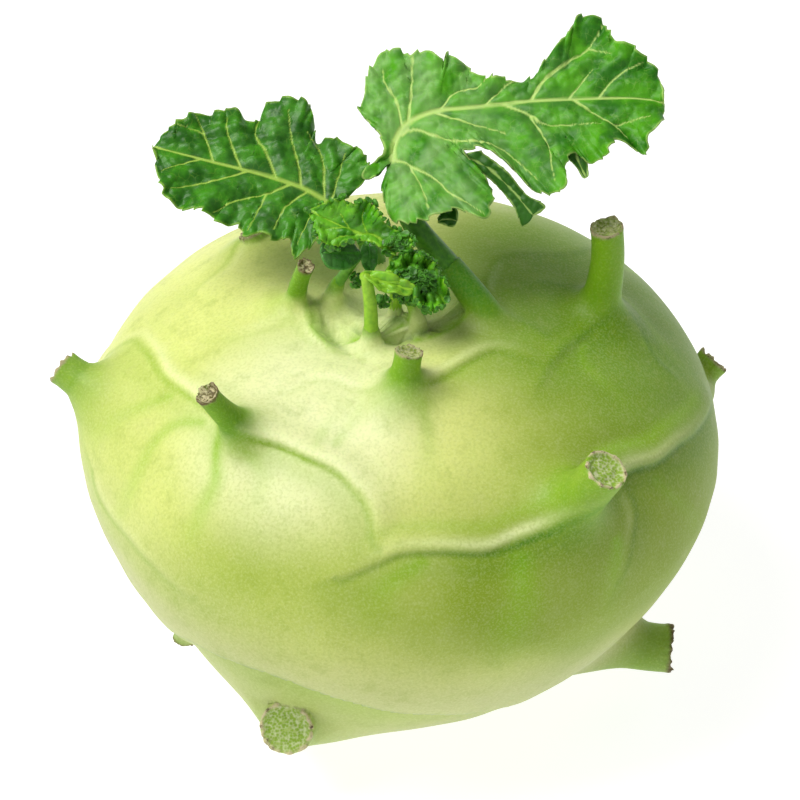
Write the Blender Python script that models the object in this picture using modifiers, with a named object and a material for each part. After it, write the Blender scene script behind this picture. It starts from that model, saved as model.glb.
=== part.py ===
"""Kohlrabi: a swollen pale green stem with cut leaf stalks, ridged leaf scars and young leaves on top.

The bulb stands on the flat cut of its root at the origin, with +Z up and its front facing -Y.
Lengths are in millimetres and are turned into metres where a mesh is made. Places are measured from
the bulb's centre, in the plane of its widest circle, which then stands WIDEST_HEIGHT above the ground.
Longitudes are degrees round the bulb from the front, positive towards +X.
Latitudes are degrees above the widest circle, seen from its centre.
"""
from math import cos, pi, radians, sin
from typing import NamedTuple

import bmesh
import bpy
import numpy as np
from mathutils import Vector

MM = 0.001

# Driving dimensions of the bulb
BULB_RADIUS = 45.0
WIDEST_HEIGHT = 35.2
CROWN_RISE = 28.5
CROWN_FULLNESS = 2.15
TAPER_DEPTH = 46.5
TAPER_FULLNESS = 1.51
ROOT_START = 30.0
ROOT_REACH = 6.0
FLAT_FADE_HEIGHT = 3.0

# The hollow at the crown, where the young leaves grow
CROWN_LONGITUDE = -25.0
CROWN_LATITUDE = 80.0
DIMPLE_DEPTH = 1.6
DIMPLE_RADIUS = 9.0

# Ridges that run from each leaf stalk round the bulb
RIDGE_HEIGHT = 1.5
RIDGE_UPPER_WIDTH = 3.4
RIDGE_LOWER_WIDTH = 1.4
RIDGE_FADE = 0.92
RIDGE_STEPS = 24

# The lowest leaf base, a broad skirt that the bulb swells out over
SKIRT_DEPTH = 2.2
SKIRT_WIDTH = 9.0
SKIRT_EDGE = 1.0

# Slow swellings between the leaf bases
SWELL_HEIGHT = 0.5
SWELL_COUNT = 3
SWELL_PHASE = 0.6

# Build resolution
BULB_SEGMENTS = 176
BULB_RINGS = 92
BULB_KEPT_SHARE = 0.2
BLADE_COLUMNS = 5
ROW_CROWDING = 1.6
BLADE_THICKNESS = 0.7
SEATING_GAP = 0.3
WELD_DISTANCE = 0.02
MIDRIB_STATIONS = (0.0, 0.15, 0.35, 0.6, 0.85)
SAMPLES_PER_POINT = 12
SHARP_ANGLE = 50.0


class Finish(NamedTuple):
    """Colour and surface values of one material."""

    name: str
    colour: tuple
    roughness: float


BULB_SKIN = Finish("bulb_skin", (0.55, 0.72, 0.25), 0.45)
LEAF_GREEN = Finish("leaf_green", (0.10, 0.36, 0.04), 0.55)
YOUNG_GREEN = Finish("young_green", (0.22, 0.52, 0.05), 0.5)


class Stub(NamedTuple):
    """A cut leaf stalk: where it leaves the bulb, the centre of its cut end and its radii."""

    longitude: float
    latitude: float
    tip: tuple
    cut_radius: float
    base_radius: float
    flare: float


STUBS = (
    Stub(3, 52, (0.9, -20.5, 32.2), 2.2, 3.6, 5.5),
    Stub(-73, 61, (-12.9, -5.0, 34.6), 1.4, 2.2, 4.0),
    Stub(-43, 34, (-25.2, -27.0, 30.4), 1.7, 3.0, 5.5),
    Stub(89, 38, (27.5, -1.0, 38.1), 2.2, 3.1, 5.5),
    Stub(38, 19, (26.1, -36.0, 25.2), 2.9, 4.4, 7.0),
    Stub(-85, 11, (-47.0, -2.5, 15.4), 2.4, 5.0, 9.0),
    Stub(108, -3, (45.6, 16.0, 2.1), 2.4, 3.6, 6.0),
    Stub(-26, -38, (-15.5, -35.0, -23.1), 3.8, 6.0, 10.0),
    Stub(63, -41, (38.6, -14.0, -27.4), 3.5, 4.2, 6.0),
    Stub(-63, -30, (-31.5, -14.5, -24.7), 1.5, 2.4, 4.0),
    Stub(-124, 45, (-20.8, 14.0, 26.7), 2.2, 3.2, 5.0),
    Stub(170, -8, (9.0, 48.0, 1.5), 2.4, 3.6, 6.0),
)
STUB_ROOT_DEPTH = 3.5
STUB_ROWS = 5
STUB_BEND = 0.25
FLARE_SHARE = 0.45

# Each ridge is a path of longitude and latitude that starts at its stalk
RIDGES = (
    ((-7, 53), (-17, 55), (-29, 53), (-34, 46)),
    ((16, 56), (32, 57), (46, 55), (55, 51), (58, 44)),
    ((-52, 61), (-34, 61), (-20, 58)),
    ((-69, 56), (-71, 50), (-77, 42)),
    ((-54, 33), (-62, 32), (-74, 31), (-88, 29)),
    ((-36, 34), (-25, 34), (-15, 32), (-9, 28), (-6, 23), (-4, 18)),
    ((73, 42), (62, 40), (60, 33)),
    ((100, 34), (92, 29), (88, 19)),
    ((31, 19), (22, 18), (14, 18), (5, 19), (-2, 16), (-6, 13)),
    ((54, 21), (64, 18), (74, 15), (88, 10)),
    ((-70, 8), (-63, 5), (-52, 6), (-44, 5), (-40, 3)),
    ((-98, 8), (-110, 5), (-124, 6)),
    ((116, 11), (128, 10), (142, 14)),
    ((-136, 42), (-150, 40), (-163, 34)),
    ((158, 27), (146, 27), (134, 22)),
    ((-178, 27), (-166, 24), (-154, 16)),
)
CREASE = ((-58, -22), (-43, -12), (-33, -11), (-24, -10), (-17, -12), (-9, -13), (0, -19), (8, -28))


class Leaf(NamedTuple):
    """A leaf: its frame in the bulb's space, its stalk, and its outline along and across the blade.

    Each rib runs from a station on the midrib, as a share of its length, to a point on the margin.
    """

    name: str
    finish: Finish
    origin: tuple
    along: tuple
    facing: tuple
    stalk: tuple
    stalk_radii: tuple
    midrib: tuple
    left_ribs: tuple
    right_ribs: tuple
    rows: int
    fold: float
    ruffle: float
    waves: float
    arch: float
    tip_radius: float


LEAF_RIGHT = Leaf(
    name="leaf_right",
    finish=LEAF_GREEN,
    origin=(-1.2, 3.0, 46.5),
    along=(0.97, 0.07, 0.22),
    facing=(-0.15, -0.55, 0.82),
    stalk=((11.9, -7.0, 24.0), (10.6, -6.0, 28.3), (6.5, -3.0, 33.0), (1.7, -1.6, 38.9), (-0.8, 0.8, 43.5)),
    stalk_radii=(2.6, 2.0, 1.6, 1.5, 1.3),
    midrib=((0, 0), (0.5, 2), (2.5, 4.5), (6.5, 5.5), (11, 5), (19.5, 4), (25, 3), (32.5, 1.5), (36.8, 0)),
    left_ribs=(
        (0.000, -2.8, -2.6), (0.010, -4.3, -2.3), (0.018, -3.6, -0.9), (0.03, -1.2, 0.6),
        (0.045, -0.9, 2.2), (0.055, -1.3, 4), (0.07, -2.3, 6), (0.085, -3.3, 8.3), (0.10, -2.2, 10.3),
        (0.115, -1.6, 12.3), (0.14, 0, 14.5), (0.17, 3, 15.5), (0.19, 5, 14), (0.21, 7.5, 14),
        (0.24, 9.3, 11.8), (0.26, 10.2, 13), (0.30, 12, 11), (0.39, 15, 8.5), (0.53, 20, 7.4),
        (0.58, 23.2, 9.6), (0.64, 26.5, 12), (0.685, 28.5, 14.5), (0.73, 31, 13.5), (0.79, 32.5, 9.5),
        (0.84, 34.5, 8.2), (0.90, 36.5, 5.5), (0.96, 37.2, 2.5), (1.0, 36.8, 0),
    ),
    right_ribs=(
        (0.000, -2.3, -3.6), (0.01, -2.2, -6), (0.02, -1.7, -8.5), (0.035, 0.5, -10), (0.06, 4, -10),
        (0.09, 7.5, -10), (0.12, 10.5, -11.5), (0.16, 12, -9), (0.21, 11.5, -5), (0.25, 11.8, -1.8),
        (0.29, 14, -3.8), (0.33, 16, -6.5), (0.38, 17.5, -9), (0.42, 20, -10.3), (0.47, 22, -10),
        (0.52, 22.3, -7), (0.56, 24, -4.8), (0.60, 25.5, -7), (0.65, 28, -6.5), (0.70, 29.5, -4.8),
        (0.76, 31.5, -5.8), (0.82, 33, -7.3), (0.86, 34, -5), (0.92, 35.8, -3.5), (1.0, 36.8, 0),
    ),
    rows=46,
    fold=0.08,
    ruffle=0.9,
    waves=5.0,
    arch=1.5,
    tip_radius=0.75,
)

# The edge of the right leaf's lower lobe, turned under so that it shows its back
RIGHT_TURNED_EDGE = Leaf(
    name="leaf_right_edge",
    finish=LEAF_GREEN,
    origin=(9.9, 2.8, 48.2),
    along=(0.72, -0.56, -0.42),
    facing=(0.68, 0.74, 0.0),
    stalk=(),
    stalk_radii=(),
    midrib=((0, 0), (4, 0.3), (8, 0.2), (12.5, 0)),
    left_ribs=(
        (0.00, -0.5, 1.0), (0.15, 1.2, 3.2), (0.35, 4, 4.2), (0.60, 7.5, 4.4), (0.80, 10.5, 3.8),
        (0.92, 12.5, 2.2), (1.0, 12.5, 0),
    ),
    right_ribs=((0.00, -0.3, -0.6), (0.30, 3.6, -0.5), (0.70, 8.8, -0.5), (0.90, 11.5, -0.4), (1.0, 12.5, 0)),
    rows=14,
    fold=0.1,
    ruffle=0.3,
    waves=2.0,
    arch=0.5,
    tip_radius=0.0,
)

LEAF_LEFT = Leaf(
    name="leaf_left",
    finish=LEAF_GREEN,
    origin=(-9.7, 3.0, 39.1),
    along=(-0.94, 0.23, 0.24),
    facing=(0.10, -0.50, 0.86),
    stalk=((-3.0, 4.0, 24.0), (-3.8, 4.0, 29.0), (-5.5, 3.8, 34.5), (-8.2, 3.4, 38.3)),
    stalk_radii=(2.0, 1.6, 1.3, 1.1),
    midrib=((0, 0), (4, -1), (10, -1), (17, -0.5), (25.5, 0)),
    left_ribs=(
        (0.00, -0.2, 0.8), (0.04, 0.5, 2), (0.06, 0.5, 3.5), (0.10, 0, 5.8), (0.12, 0.8, 7.6),
        (0.14, 2.2, 9.2), (0.17, 3.3, 7), (0.21, 5.5, 8), (0.26, 7.5, 8), (0.31, 9, 9.2), (0.36, 10.3, 7.6),
        (0.44, 13, 8), (0.52, 16, 7.5), (0.62, 18.5, 8), (0.72, 21, 7), (0.80, 22.5, 5.5),
        (0.90, 23.8, 3), (1.0, 25.5, 0),
    ),
    right_ribs=(
        (0.00, -0.6, -0.5), (0.02, -2.0, -2.2), (0.04, -3.1, -4.4), (0.06, -3.1, -7), (0.09, -1.8, -8.4),
        (0.13, 0, -9), (0.18, 3, -9.5), (0.22, 5, -8.5), (0.26, 6, -11), (0.32, 8, -13),
        (0.38, 10.5, -12.5), (0.44, 13, -11.5), (0.48, 13.3, -9), (0.52, 15, -8.2), (0.60, 17, -8.6),
        (0.70, 19.5, -7.6), (0.80, 22, -6.2), (0.90, 24.2, -3.5), (1.0, 25.5, 0),
    ),
    rows=38,
    fold=0.07,
    ruffle=0.8,
    waves=4.0,
    arch=1.2,
    tip_radius=0.7,
)

HEART_FRONT = Leaf(
    name="heart_leaf_front",
    finish=YOUNG_GREEN,
    origin=(-4.6, -11.2, 37.5),
    along=(0.96, 0.10, -0.10),
    facing=(0.05, -0.70, 0.70),
    stalk=((-4.0, -12.0, 24.0), (-4.1, -12.0, 28.5), (-4.6, -11.6, 33.5), (-5.0, -11.3, 36.5)),
    stalk_radii=(1.2, 0.95, 0.85, 0.8),
    midrib=((0, 0), (4, 0.2), (7, -0.5), (10.5, -2)),
    left_ribs=(
        (0.00, 0, 0.8), (0.15, 2, 1.6), (0.30, 4, 3), (0.45, 5.5, 5.2), (0.60, 7.5, 5), (0.75, 9, 3),
        (0.88, 10.6, 1), (1.0, 10.8, -2),
    ),
    right_ribs=(
        (0.00, 0, -0.8), (0.20, 2, -1.6), (0.40, 4, -3), (0.55, 6, -5.4), (0.70, 8, -5.8),
        (0.85, 10, -4.6), (1.0, 10.8, -2),
    ),
    rows=14,
    fold=0.2,
    ruffle=0.7,
    waves=3.0,
    arch=0.8,
    tip_radius=0.6,
)

HEART_LEFT = Leaf(
    name="heart_leaf_left",
    finish=YOUNG_GREEN,
    origin=(-2.4, -7.3, 39.5),
    along=(-0.85, -0.15, 0.50),
    facing=(0.25, -0.80, 0.55),
    stalk=((-1.2, -6.5, 24.0), (-0.9, -6.6, 29.0), (-1.2, -6.9, 34.0), (-1.9, -7.1, 38.1)),
    stalk_radii=(1.1, 0.9, 0.75, 0.7),
    midrib=((0, 0), (2.5, 1.0), (6, 0.8), (12, 0)),
    left_ribs=(
        (0.00, 0, 0.7), (0.15, 2, 2), (0.30, 3, 2.6), (0.50, 5.5, 2.8), (0.70, 8, 2.6), (0.85, 10.5, 2),
        (1.0, 12, 0),
    ),
    right_ribs=(
        (0.00, 0, -0.7), (0.12, 0.5, -3), (0.26, 2.5, -5.5), (0.40, 5, -6), (0.55, 7.5, -4.4),
        (0.75, 10.5, -3), (0.90, 12, -1.5), (1.0, 12, 0),
    ),
    rows=14,
    fold=0.2,
    ruffle=0.6,
    waves=3.0,
    arch=0.6,
    tip_radius=0.6,
)

HEART_SPOON = Leaf(
    name="heart_leaf_spoon",
    finish=YOUNG_GREEN,
    origin=(-5.6, -5.0, 36.7),
    along=(-0.80, -0.35, 0.30),
    facing=(-0.10, -0.62, 0.78),
    stalk=((-9.6, -2.6, 24.0), (-9.2, -2.8, 28.8), (-7.8, -3.8, 32.5), (-6.1, -4.7, 35.7)),
    stalk_radii=(1.3, 0.95, 0.8, 0.75),
    midrib=((0, 0), (2.5, 0), (5.5, 0)),
    left_ribs=(
        (0.00, 0, 0.8), (0.25, 1.4, 1.8), (0.50, 3, 2.2), (0.75, 4.8, 1.9), (0.90, 5.6, 1), (1.0, 5.8, 0),
    ),
    right_ribs=(
        (0.00, 0, -0.8), (0.25, 1.4, -1.8), (0.50, 3, -2.2), (0.75, 4.8, -1.9), (0.90, 5.6, -1),
        (1.0, 5.8, 0),
    ),
    rows=9,
    fold=0.15,
    ruffle=0.1,
    waves=1.0,
    arch=0.4,
    tip_radius=0.6,
)

LEAVES = (LEAF_RIGHT, LEAF_LEFT, HEART_FRONT, HEART_LEFT, HEART_SPOON)
TURNED_EDGES = {LEAF_RIGHT.name: RIGHT_TURNED_EDGE}


def clear_scene():
    """Remove every object of the open file."""
    for item in list(bpy.data.objects):
        bpy.data.objects.remove(item)


def new_collection(name):
    """Return a new collection linked to the scene."""
    collection = bpy.data.collections.new(name)
    bpy.context.scene.collection.children.link(collection)
    return collection


def make_material(finish):
    """Return a Principled material with the finish's colour and roughness."""
    material = bpy.data.materials.new(finish.name)
    material.use_nodes = True
    shader = material.node_tree.nodes["Principled BSDF"]
    shader.inputs["Base Color"].default_value = (*finish.colour, 1.0)
    shader.inputs["Roughness"].default_value = finish.roughness
    shader.inputs["Metallic"].default_value = 0.0
    return material


def unit(rows):
    """Return each row scaled to length one."""
    rows = np.asarray(rows, dtype=float)
    return rows / np.linalg.norm(rows, axis=-1, keepdims=True)


def direction(longitude, latitude):
    """Return the unit direction from the bulb's centre at a longitude and latitude in degrees."""
    turn = radians(longitude)
    rise = radians(latitude)
    return np.array([sin(turn) * cos(rise), -cos(turn) * cos(rise), sin(rise)])


def bulb_radius(ways):
    """Return the distance from the bulb's centre to its plain turned surface along unit directions."""
    across = np.hypot(ways[:, 0], ways[:, 1])
    height = np.abs(ways[:, 2])
    upper = ways[:, 2] >= 0
    fullness = np.where(upper, CROWN_FULLNESS, TAPER_FULLNESS)
    reach = np.where(upper, CROWN_RISE, TAPER_DEPTH)
    powers = (across / BULB_RADIUS) ** fullness + (height / reach) ** fullness
    return powers ** (-1.0 / fullness)


def plain_surface(ways):
    """Return points of the plain turned surface, which rounds in at its root and is cut flat there."""
    points = unit(ways) * bulb_radius(unit(ways))[:, None]
    deep = np.maximum(-points[:, 2] - ROOT_START, 0.0)
    rounded = -ROOT_START - ROOT_REACH * (1 - np.exp(-deep / ROOT_REACH))
    points[:, 2] = np.where(deep > 0, rounded, points[:, 2])
    points[:, 2] = np.maximum(points[:, 2], -WIDEST_HEIGHT)
    return points


def placed(point):
    """Return a place in the scene, in metres above the ground, from one measured from the bulb's centre."""
    return (Vector(point) + Vector((0.0, 0.0, WIDEST_HEIGHT))) * MM


def smooth_path(points, count):
    """Return count points evenly spaced in parameter on a Catmull-Rom curve through the points."""
    path = np.asarray(points, dtype=float)
    padded = np.vstack([2 * path[0] - path[1], path, 2 * path[-1] - path[-2]])
    place = np.linspace(0, len(path) - 1, count)
    cell = np.minimum(place.astype(int), len(path) - 2)
    share = (place - cell)[:, None]
    before, start, end, after = (padded[cell + step] for step in range(4))
    return 0.5 * (
        2 * start
        + (end - before) * share
        + (2 * before - 5 * start + 4 * end - after) * share**2
        + (3 * start - before - 3 * end + after) * share**3
    )


def ridge_path(corners):
    """Return points on the plain surface along a ridge given by longitudes and latitudes."""
    angles = smooth_path(corners, RIDGE_STEPS)
    return plain_surface(np.array([direction(*pair) for pair in angles]))


def beside_path(points, ways, path):
    """Return each point's distance above a path over the surface, and its share of the way along it.

    The distance is positive on the crown's side of the path and negative below it.
    """
    gaps = np.linalg.norm(points[:, None, :] - path[None, :, :], axis=2)
    nearest = gaps.argmin(axis=1)
    course = unit(np.gradient(path, axis=0))
    rise = np.cross(course[nearest], ways)
    if rise[gaps[:, 0].argmin(), 2] < 0:
        rise = -rise
    offset = points - path[nearest]
    side = np.where((offset * rise).sum(axis=1) >= 0, 1.0, -1.0)
    return side * gaps.min(axis=1), nearest / (len(path) - 1)


def bell(distance, width):
    """Return a smooth bump that is 1 at no distance and fades over a width."""
    return np.exp(-((distance / width) ** 2))


def ridge_relief(points, ways):
    """Return how far the ridges lift the surface: gently from above, steeply from below."""
    lift = np.zeros(len(points))
    for corners in RIDGES:
        above, share = beside_path(points, ways, ridge_path(corners))
        width = np.where(above > 0, RIDGE_UPPER_WIDTH, RIDGE_LOWER_WIDTH)
        height = RIDGE_HEIGHT * np.sqrt(1.0 - RIDGE_FADE * share)
        lift = np.maximum(lift, height * bell(above, width))
    return lift


def skirt_relief(points, ways):
    """Return the step under the crease, where the lowest leaf base lies inside the bulb's swelling."""
    above, share = beside_path(points, ways, ridge_path(CREASE))
    ends = np.sin(pi * np.clip(share, 0.03, 0.97)) ** 0.5
    swelling = 0.5 * SKIRT_DEPTH * bell(np.maximum(above, 0.0), SKIRT_WIDTH)
    step = -SKIRT_DEPTH * bell(above, SKIRT_WIDTH) * (above < -SKIRT_EDGE)
    return ends * np.where(above > -SKIRT_EDGE, swelling, step)


def stub_relief(points):
    """Return the flare where each cut stalk leaves the bulb."""
    lift = np.zeros(len(points))
    for stub in STUBS:
        base = plain_surface(direction(stub.longitude, stub.latitude)[None, :])[0]
        gap = np.linalg.norm(points - base, axis=1)
        lift = np.maximum(lift, FLARE_SHARE * stub.base_radius * bell(gap, stub.flare))
    return lift


def swell_relief(ways):
    """Return the slow swellings that keep the bulb from being a plain turned shape."""
    turn = np.arctan2(ways[:, 0], -ways[:, 1])
    return SWELL_HEIGHT * ways[:, 2] * np.sin(SWELL_COUNT * turn + SWELL_PHASE) * (1 - ways[:, 2] ** 2)


def dimple_relief(points):
    """Return the hollow at the crown."""
    crown = plain_surface(direction(CROWN_LONGITUDE, CROWN_LATITUDE)[None, :])[0]
    return -DIMPLE_DEPTH * bell(np.linalg.norm(points - crown, axis=1), DIMPLE_RADIUS)


def bulb_surface(ways, grow=0.0):
    """Return points of the bulb's full surface along directions, moved outwards by grow."""
    ways = unit(ways)
    points = plain_surface(ways)
    lift = np.maximum(ridge_relief(points, ways), stub_relief(points))
    lift = lift + skirt_relief(points, ways) + swell_relief(ways) + dimple_relief(points)
    fade = np.clip((points[:, 2] + WIDEST_HEIGHT) / FLAT_FADE_HEIGHT, 0.0, 1.0)
    points += ways * (lift * fade + grow)[:, None]
    points[:, 2] = np.maximum(points[:, 2], -WIDEST_HEIGHT - grow)
    return points


def bulb_body(name, grow=0.0):
    """Return an object of the bulb's body without its stalks, grown outwards by grow."""
    mesh = bpy.data.meshes.new(name)
    work = bmesh.new()
    bmesh.ops.create_uvsphere(work, u_segments=BULB_SEGMENTS, v_segments=BULB_RINGS, radius=1.0)
    ways = np.array([vertex.co for vertex in work.verts])
    for vertex, place in zip(work.verts, bulb_surface(ways, grow)):
        vertex.co = placed(place)
    bmesh.ops.recalc_face_normals(work, faces=work.faces)
    work.to_mesh(mesh)
    work.free()
    return bpy.data.objects.new(name, mesh)


def thin_out(item, share):
    """Keep a share of an object's triangles, fewest where its surface is plainest."""
    modifier = item.modifiers.new("fewer_faces", "DECIMATE")
    modifier.ratio = share
    modifier.use_collapse_triangulate = True
    applied(item)


def applied(item):
    """Replace an object's mesh with its evaluated one and drop its modifiers."""
    bpy.context.view_layer.update()
    evaluated = item.evaluated_get(bpy.context.evaluated_depsgraph_get())
    mesh = bpy.data.meshes.new_from_object(evaluated)
    item.modifiers.clear()
    item.data = mesh


def tube(name, points, radii, collection):
    """Return a mesh object of a round tube through points, with a radius at each."""
    curve = bpy.data.curves.new(name, "CURVE")
    curve.dimensions = "3D"
    curve.bevel_depth = MM
    curve.bevel_resolution = 3
    curve.use_fill_caps = True
    spline = curve.splines.new("POLY")
    spline.points.add(len(points) - 1)
    for knot, place, radius in zip(spline.points, points, radii):
        knot.co = (*placed(place), 1.0)
        knot.radius = radius
    guide = bpy.data.objects.new(name + "_path", curve)
    collection.objects.link(guide)
    bpy.context.view_layer.update()
    evaluated = guide.evaluated_get(bpy.context.evaluated_depsgraph_get())
    mesh = bpy.data.meshes.new_from_object(evaluated)
    bpy.data.objects.remove(guide)
    work = bmesh.new()
    work.from_mesh(mesh)
    bmesh.ops.remove_doubles(work, verts=work.verts, dist=WELD_DISTANCE * MM)
    bmesh.ops.recalc_face_normals(work, faces=work.faces)
    work.to_mesh(mesh)
    work.free()
    item = bpy.data.objects.new(name, mesh)
    collection.objects.link(item)
    return item


def boolean(item, operation, other=None, collection=None, solver="EXACT"):
    """Join or cut an object with another object, or with a collection, and apply the result."""
    modifier = item.modifiers.new(operation.lower(), "BOOLEAN")
    modifier.operation = operation
    modifier.solver = solver
    if collection is None:
        modifier.object = other
    else:
        modifier.operand_type = "COLLECTION"
        modifier.collection = collection
    applied(item)


def stub_tube(index, stub, collection):
    """Return a cut stalk that widens to its root inside the bulb."""
    way = direction(stub.longitude, stub.latitude)
    root = plain_surface(way[None, :])[0] - STUB_ROOT_DEPTH * way
    tip = np.array(stub.tip)
    shares = np.linspace(0.0, 1.0, STUB_ROWS)
    bend = STUB_BEND * np.linalg.norm(tip - root)
    points = [root + (tip - root) * share + way * bend * share * (1 - share) for share in shares]
    radii = [stub.cut_radius + (stub.base_radius - stub.cut_radius) * (1 - share) ** 2 for share in shares]
    return tube(f"stub_{index}", points, radii, collection)


def build_bulb(parts, cutters):
    """Make the bulb with its cut stalks as one solid."""
    bulb = bulb_body("bulb")
    parts.objects.link(bulb)
    thin_out(bulb, BULB_KEPT_SHARE)
    stalks = bpy.data.collections.new("stalks")
    cutters.children.link(stalks)
    for index, stub in enumerate(STUBS):
        stub_tube(index, stub, stalks)
    boolean(bulb, "UNION", collection=stalks)
    for item in list(stalks.objects):
        bpy.data.objects.remove(item)
    bpy.data.collections.remove(stalks)
    finish_object(bulb, BULB_SKIN)
    return bulb


def margin_at(ribs, stations):
    """Return where the margin is, along and across the blade, for stations on the midrib."""
    dense = smooth_path(ribs, SAMPLES_PER_POINT * len(ribs))
    order = np.maximum.accumulate(dense[:, 0])
    return np.column_stack([np.interp(stations, order, dense[:, axis]) for axis in (1, 2)])


def midrib_at(midrib, stations):
    """Return points of the midrib at shares of its length."""
    dense = smooth_path(midrib, SAMPLES_PER_POINT * len(midrib))
    steps = np.linalg.norm(np.diff(dense, axis=0), axis=1)
    run = np.concatenate([[0.0], np.cumsum(steps)])
    return np.column_stack([np.interp(stations * run[-1], run, dense[:, axis]) for axis in (0, 1)])


def blade_relief(leaf, station, reach, share, side):
    """Return the blade's height over its plane: a valley at the midrib, waves at the margin and an arch."""
    wave = leaf.ruffle * share**2 * sin(2 * pi * leaf.waves * station + side)
    return leaf.fold * reach * share + wave - leaf.arch * station**2


def blade_frame(leaf):
    """Return the blade's axes in the bulb's space: along, across to its left, and out of its face."""
    along = unit(leaf.along)
    facing = np.array(leaf.facing) - along * np.dot(leaf.facing, along)
    facing = unit(facing)
    return along, np.cross(facing, along), facing


def blade_grid(leaf):
    """Return the blade's points as rows along the midrib by columns from one margin to the other."""
    stations = np.linspace(0.0, 1.0, leaf.rows) ** ROW_CROWDING
    centre = midrib_at(leaf.midrib, stations)
    left = margin_at(leaf.left_ribs, stations)
    right = margin_at(leaf.right_ribs, stations)
    along, across, facing = blade_frame(leaf)
    grid = []
    for row, station in enumerate(stations):
        line = []
        for column in range(-BLADE_COLUMNS, BLADE_COLUMNS + 1):
            share = abs(column) / BLADE_COLUMNS
            margin = left[row] if column > 0 else right[row]
            reach = np.linalg.norm(margin - centre[row])
            flat = centre[row] + (margin - centre[row]) * share
            height = blade_relief(leaf, station, reach, share, np.sign(column))
            line.append(np.array(leaf.origin) + along * flat[0] + across * flat[1] + facing * height)
        grid.append(line)
    return grid


def blade_sheet(leaf, collection):
    """Return the blade as an open sheet of triangles with an even thickness."""
    grid = blade_grid(leaf)
    work = bmesh.new()
    verts = [[work.verts.new(placed(point)) for point in line] for line in grid[:-1]]
    apex = work.verts.new(placed(grid[-1][BLADE_COLUMNS]))
    for upper, lower in zip(verts, verts[1:]):
        for column in range(2 * BLADE_COLUMNS):
            near, far = upper[column], upper[column + 1]
            next_near, next_far = lower[column], lower[column + 1]
            work.faces.new((near, far, next_far))
            work.faces.new((near, next_far, next_near))
    last = verts[-1]
    for near, far in zip(last, last[1:]):
        work.faces.new((near, far, apex))
    mesh = bpy.data.meshes.new(leaf.name)
    work.to_mesh(mesh)
    work.free()
    blade = bpy.data.objects.new(leaf.name, mesh)
    collection.objects.link(blade)
    shell = blade.modifiers.new("thickness", "SOLIDIFY")
    shell.thickness = BLADE_THICKNESS * MM
    shell.offset = 0.0
    applied(blade)
    turn_outwards(blade)
    return blade


def turn_outwards(item):
    """Point every face of a closed mesh out of its body."""
    work = bmesh.new()
    work.from_mesh(item.data)
    bmesh.ops.recalc_face_normals(work, faces=work.faces)
    work.to_mesh(item.data)
    work.free()


def leaf_stalk(leaf, collection):
    """Return the stalk, which runs on under the blade as its midrib."""
    along, across, facing = blade_frame(leaf)
    stations = np.array(MIDRIB_STATIONS)
    ribs = midrib_at(leaf.midrib, stations)
    points = [np.array(place) for place in leaf.stalk]
    radii = list(leaf.stalk_radii)
    for (forward, sideways), station in zip(ribs, stations):
        height = blade_relief(leaf, station, 0.0, 0.0, 0.0)
        points.append(np.array(leaf.origin) + along * forward + across * sideways + facing * height)
        radii.append(leaf.tip_radius + (leaf.stalk_radii[-1] - leaf.tip_radius) * (1 - station))
    return tube(leaf.name + "_stalk", points, radii, collection)


def build_leaf(leaf, parts, cutters, seat):
    """Make one leaf of a blade and a stalk, cut to sit just clear of the bulb."""
    blade = blade_sheet(leaf, parts)
    stalk = leaf_stalk(leaf, cutters)
    boolean(blade, "UNION", other=stalk, solver="MANIFOLD")
    bpy.data.objects.remove(stalk)
    if leaf.name in TURNED_EDGES:
        edge = blade_sheet(TURNED_EDGES[leaf.name], cutters)
        boolean(blade, "UNION", other=edge, solver="MANIFOLD")
        bpy.data.objects.remove(edge)
    boolean(blade, "DIFFERENCE", other=seat, solver="MANIFOLD")
    finish_object(blade, leaf.finish)
    return blade


def finish_object(item, finish):
    """Give an object its material and smooth shading that keeps its cut edges sharp."""
    item.data.materials.clear()
    item.data.materials.append(make_material(finish))
    item.data.shade_smooth()
    item.data.set_sharp_from_angle(angle=radians(SHARP_ANGLE))


def main():
    """Build the kohlrabi."""
    clear_scene()
    parts = new_collection("kohlrabi")
    cutters = new_collection("cutters")
    build_bulb(parts, cutters)
    seat = bulb_body("seat", SEATING_GAP)
    seat.hide_render = True
    seat.display_type = "WIRE"
    cutters.objects.link(seat)
    for leaf in LEAVES:
        build_leaf(leaf, parts, cutters, seat)


if __name__ == "__main__":
    main()
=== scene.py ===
"""Kohlrabi: the looks of the swollen stem, its cut leaf stalks, its leaves and its young crown leaves.

Lengths are in millimetres and are turned into metres where a mesh is made. Places are measured from
the bulb's centre, in the plane of its widest circle, which stands WIDEST_HEIGHT above the floor.
Longitudes are degrees round the bulb from the front, positive towards +X, and latitudes are degrees
above the widest circle.
"""

import logging
from dataclasses import dataclass, field
from enum import Enum
from math import cos, pi, radians, sin
from typing import Any, Sequence

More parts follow.
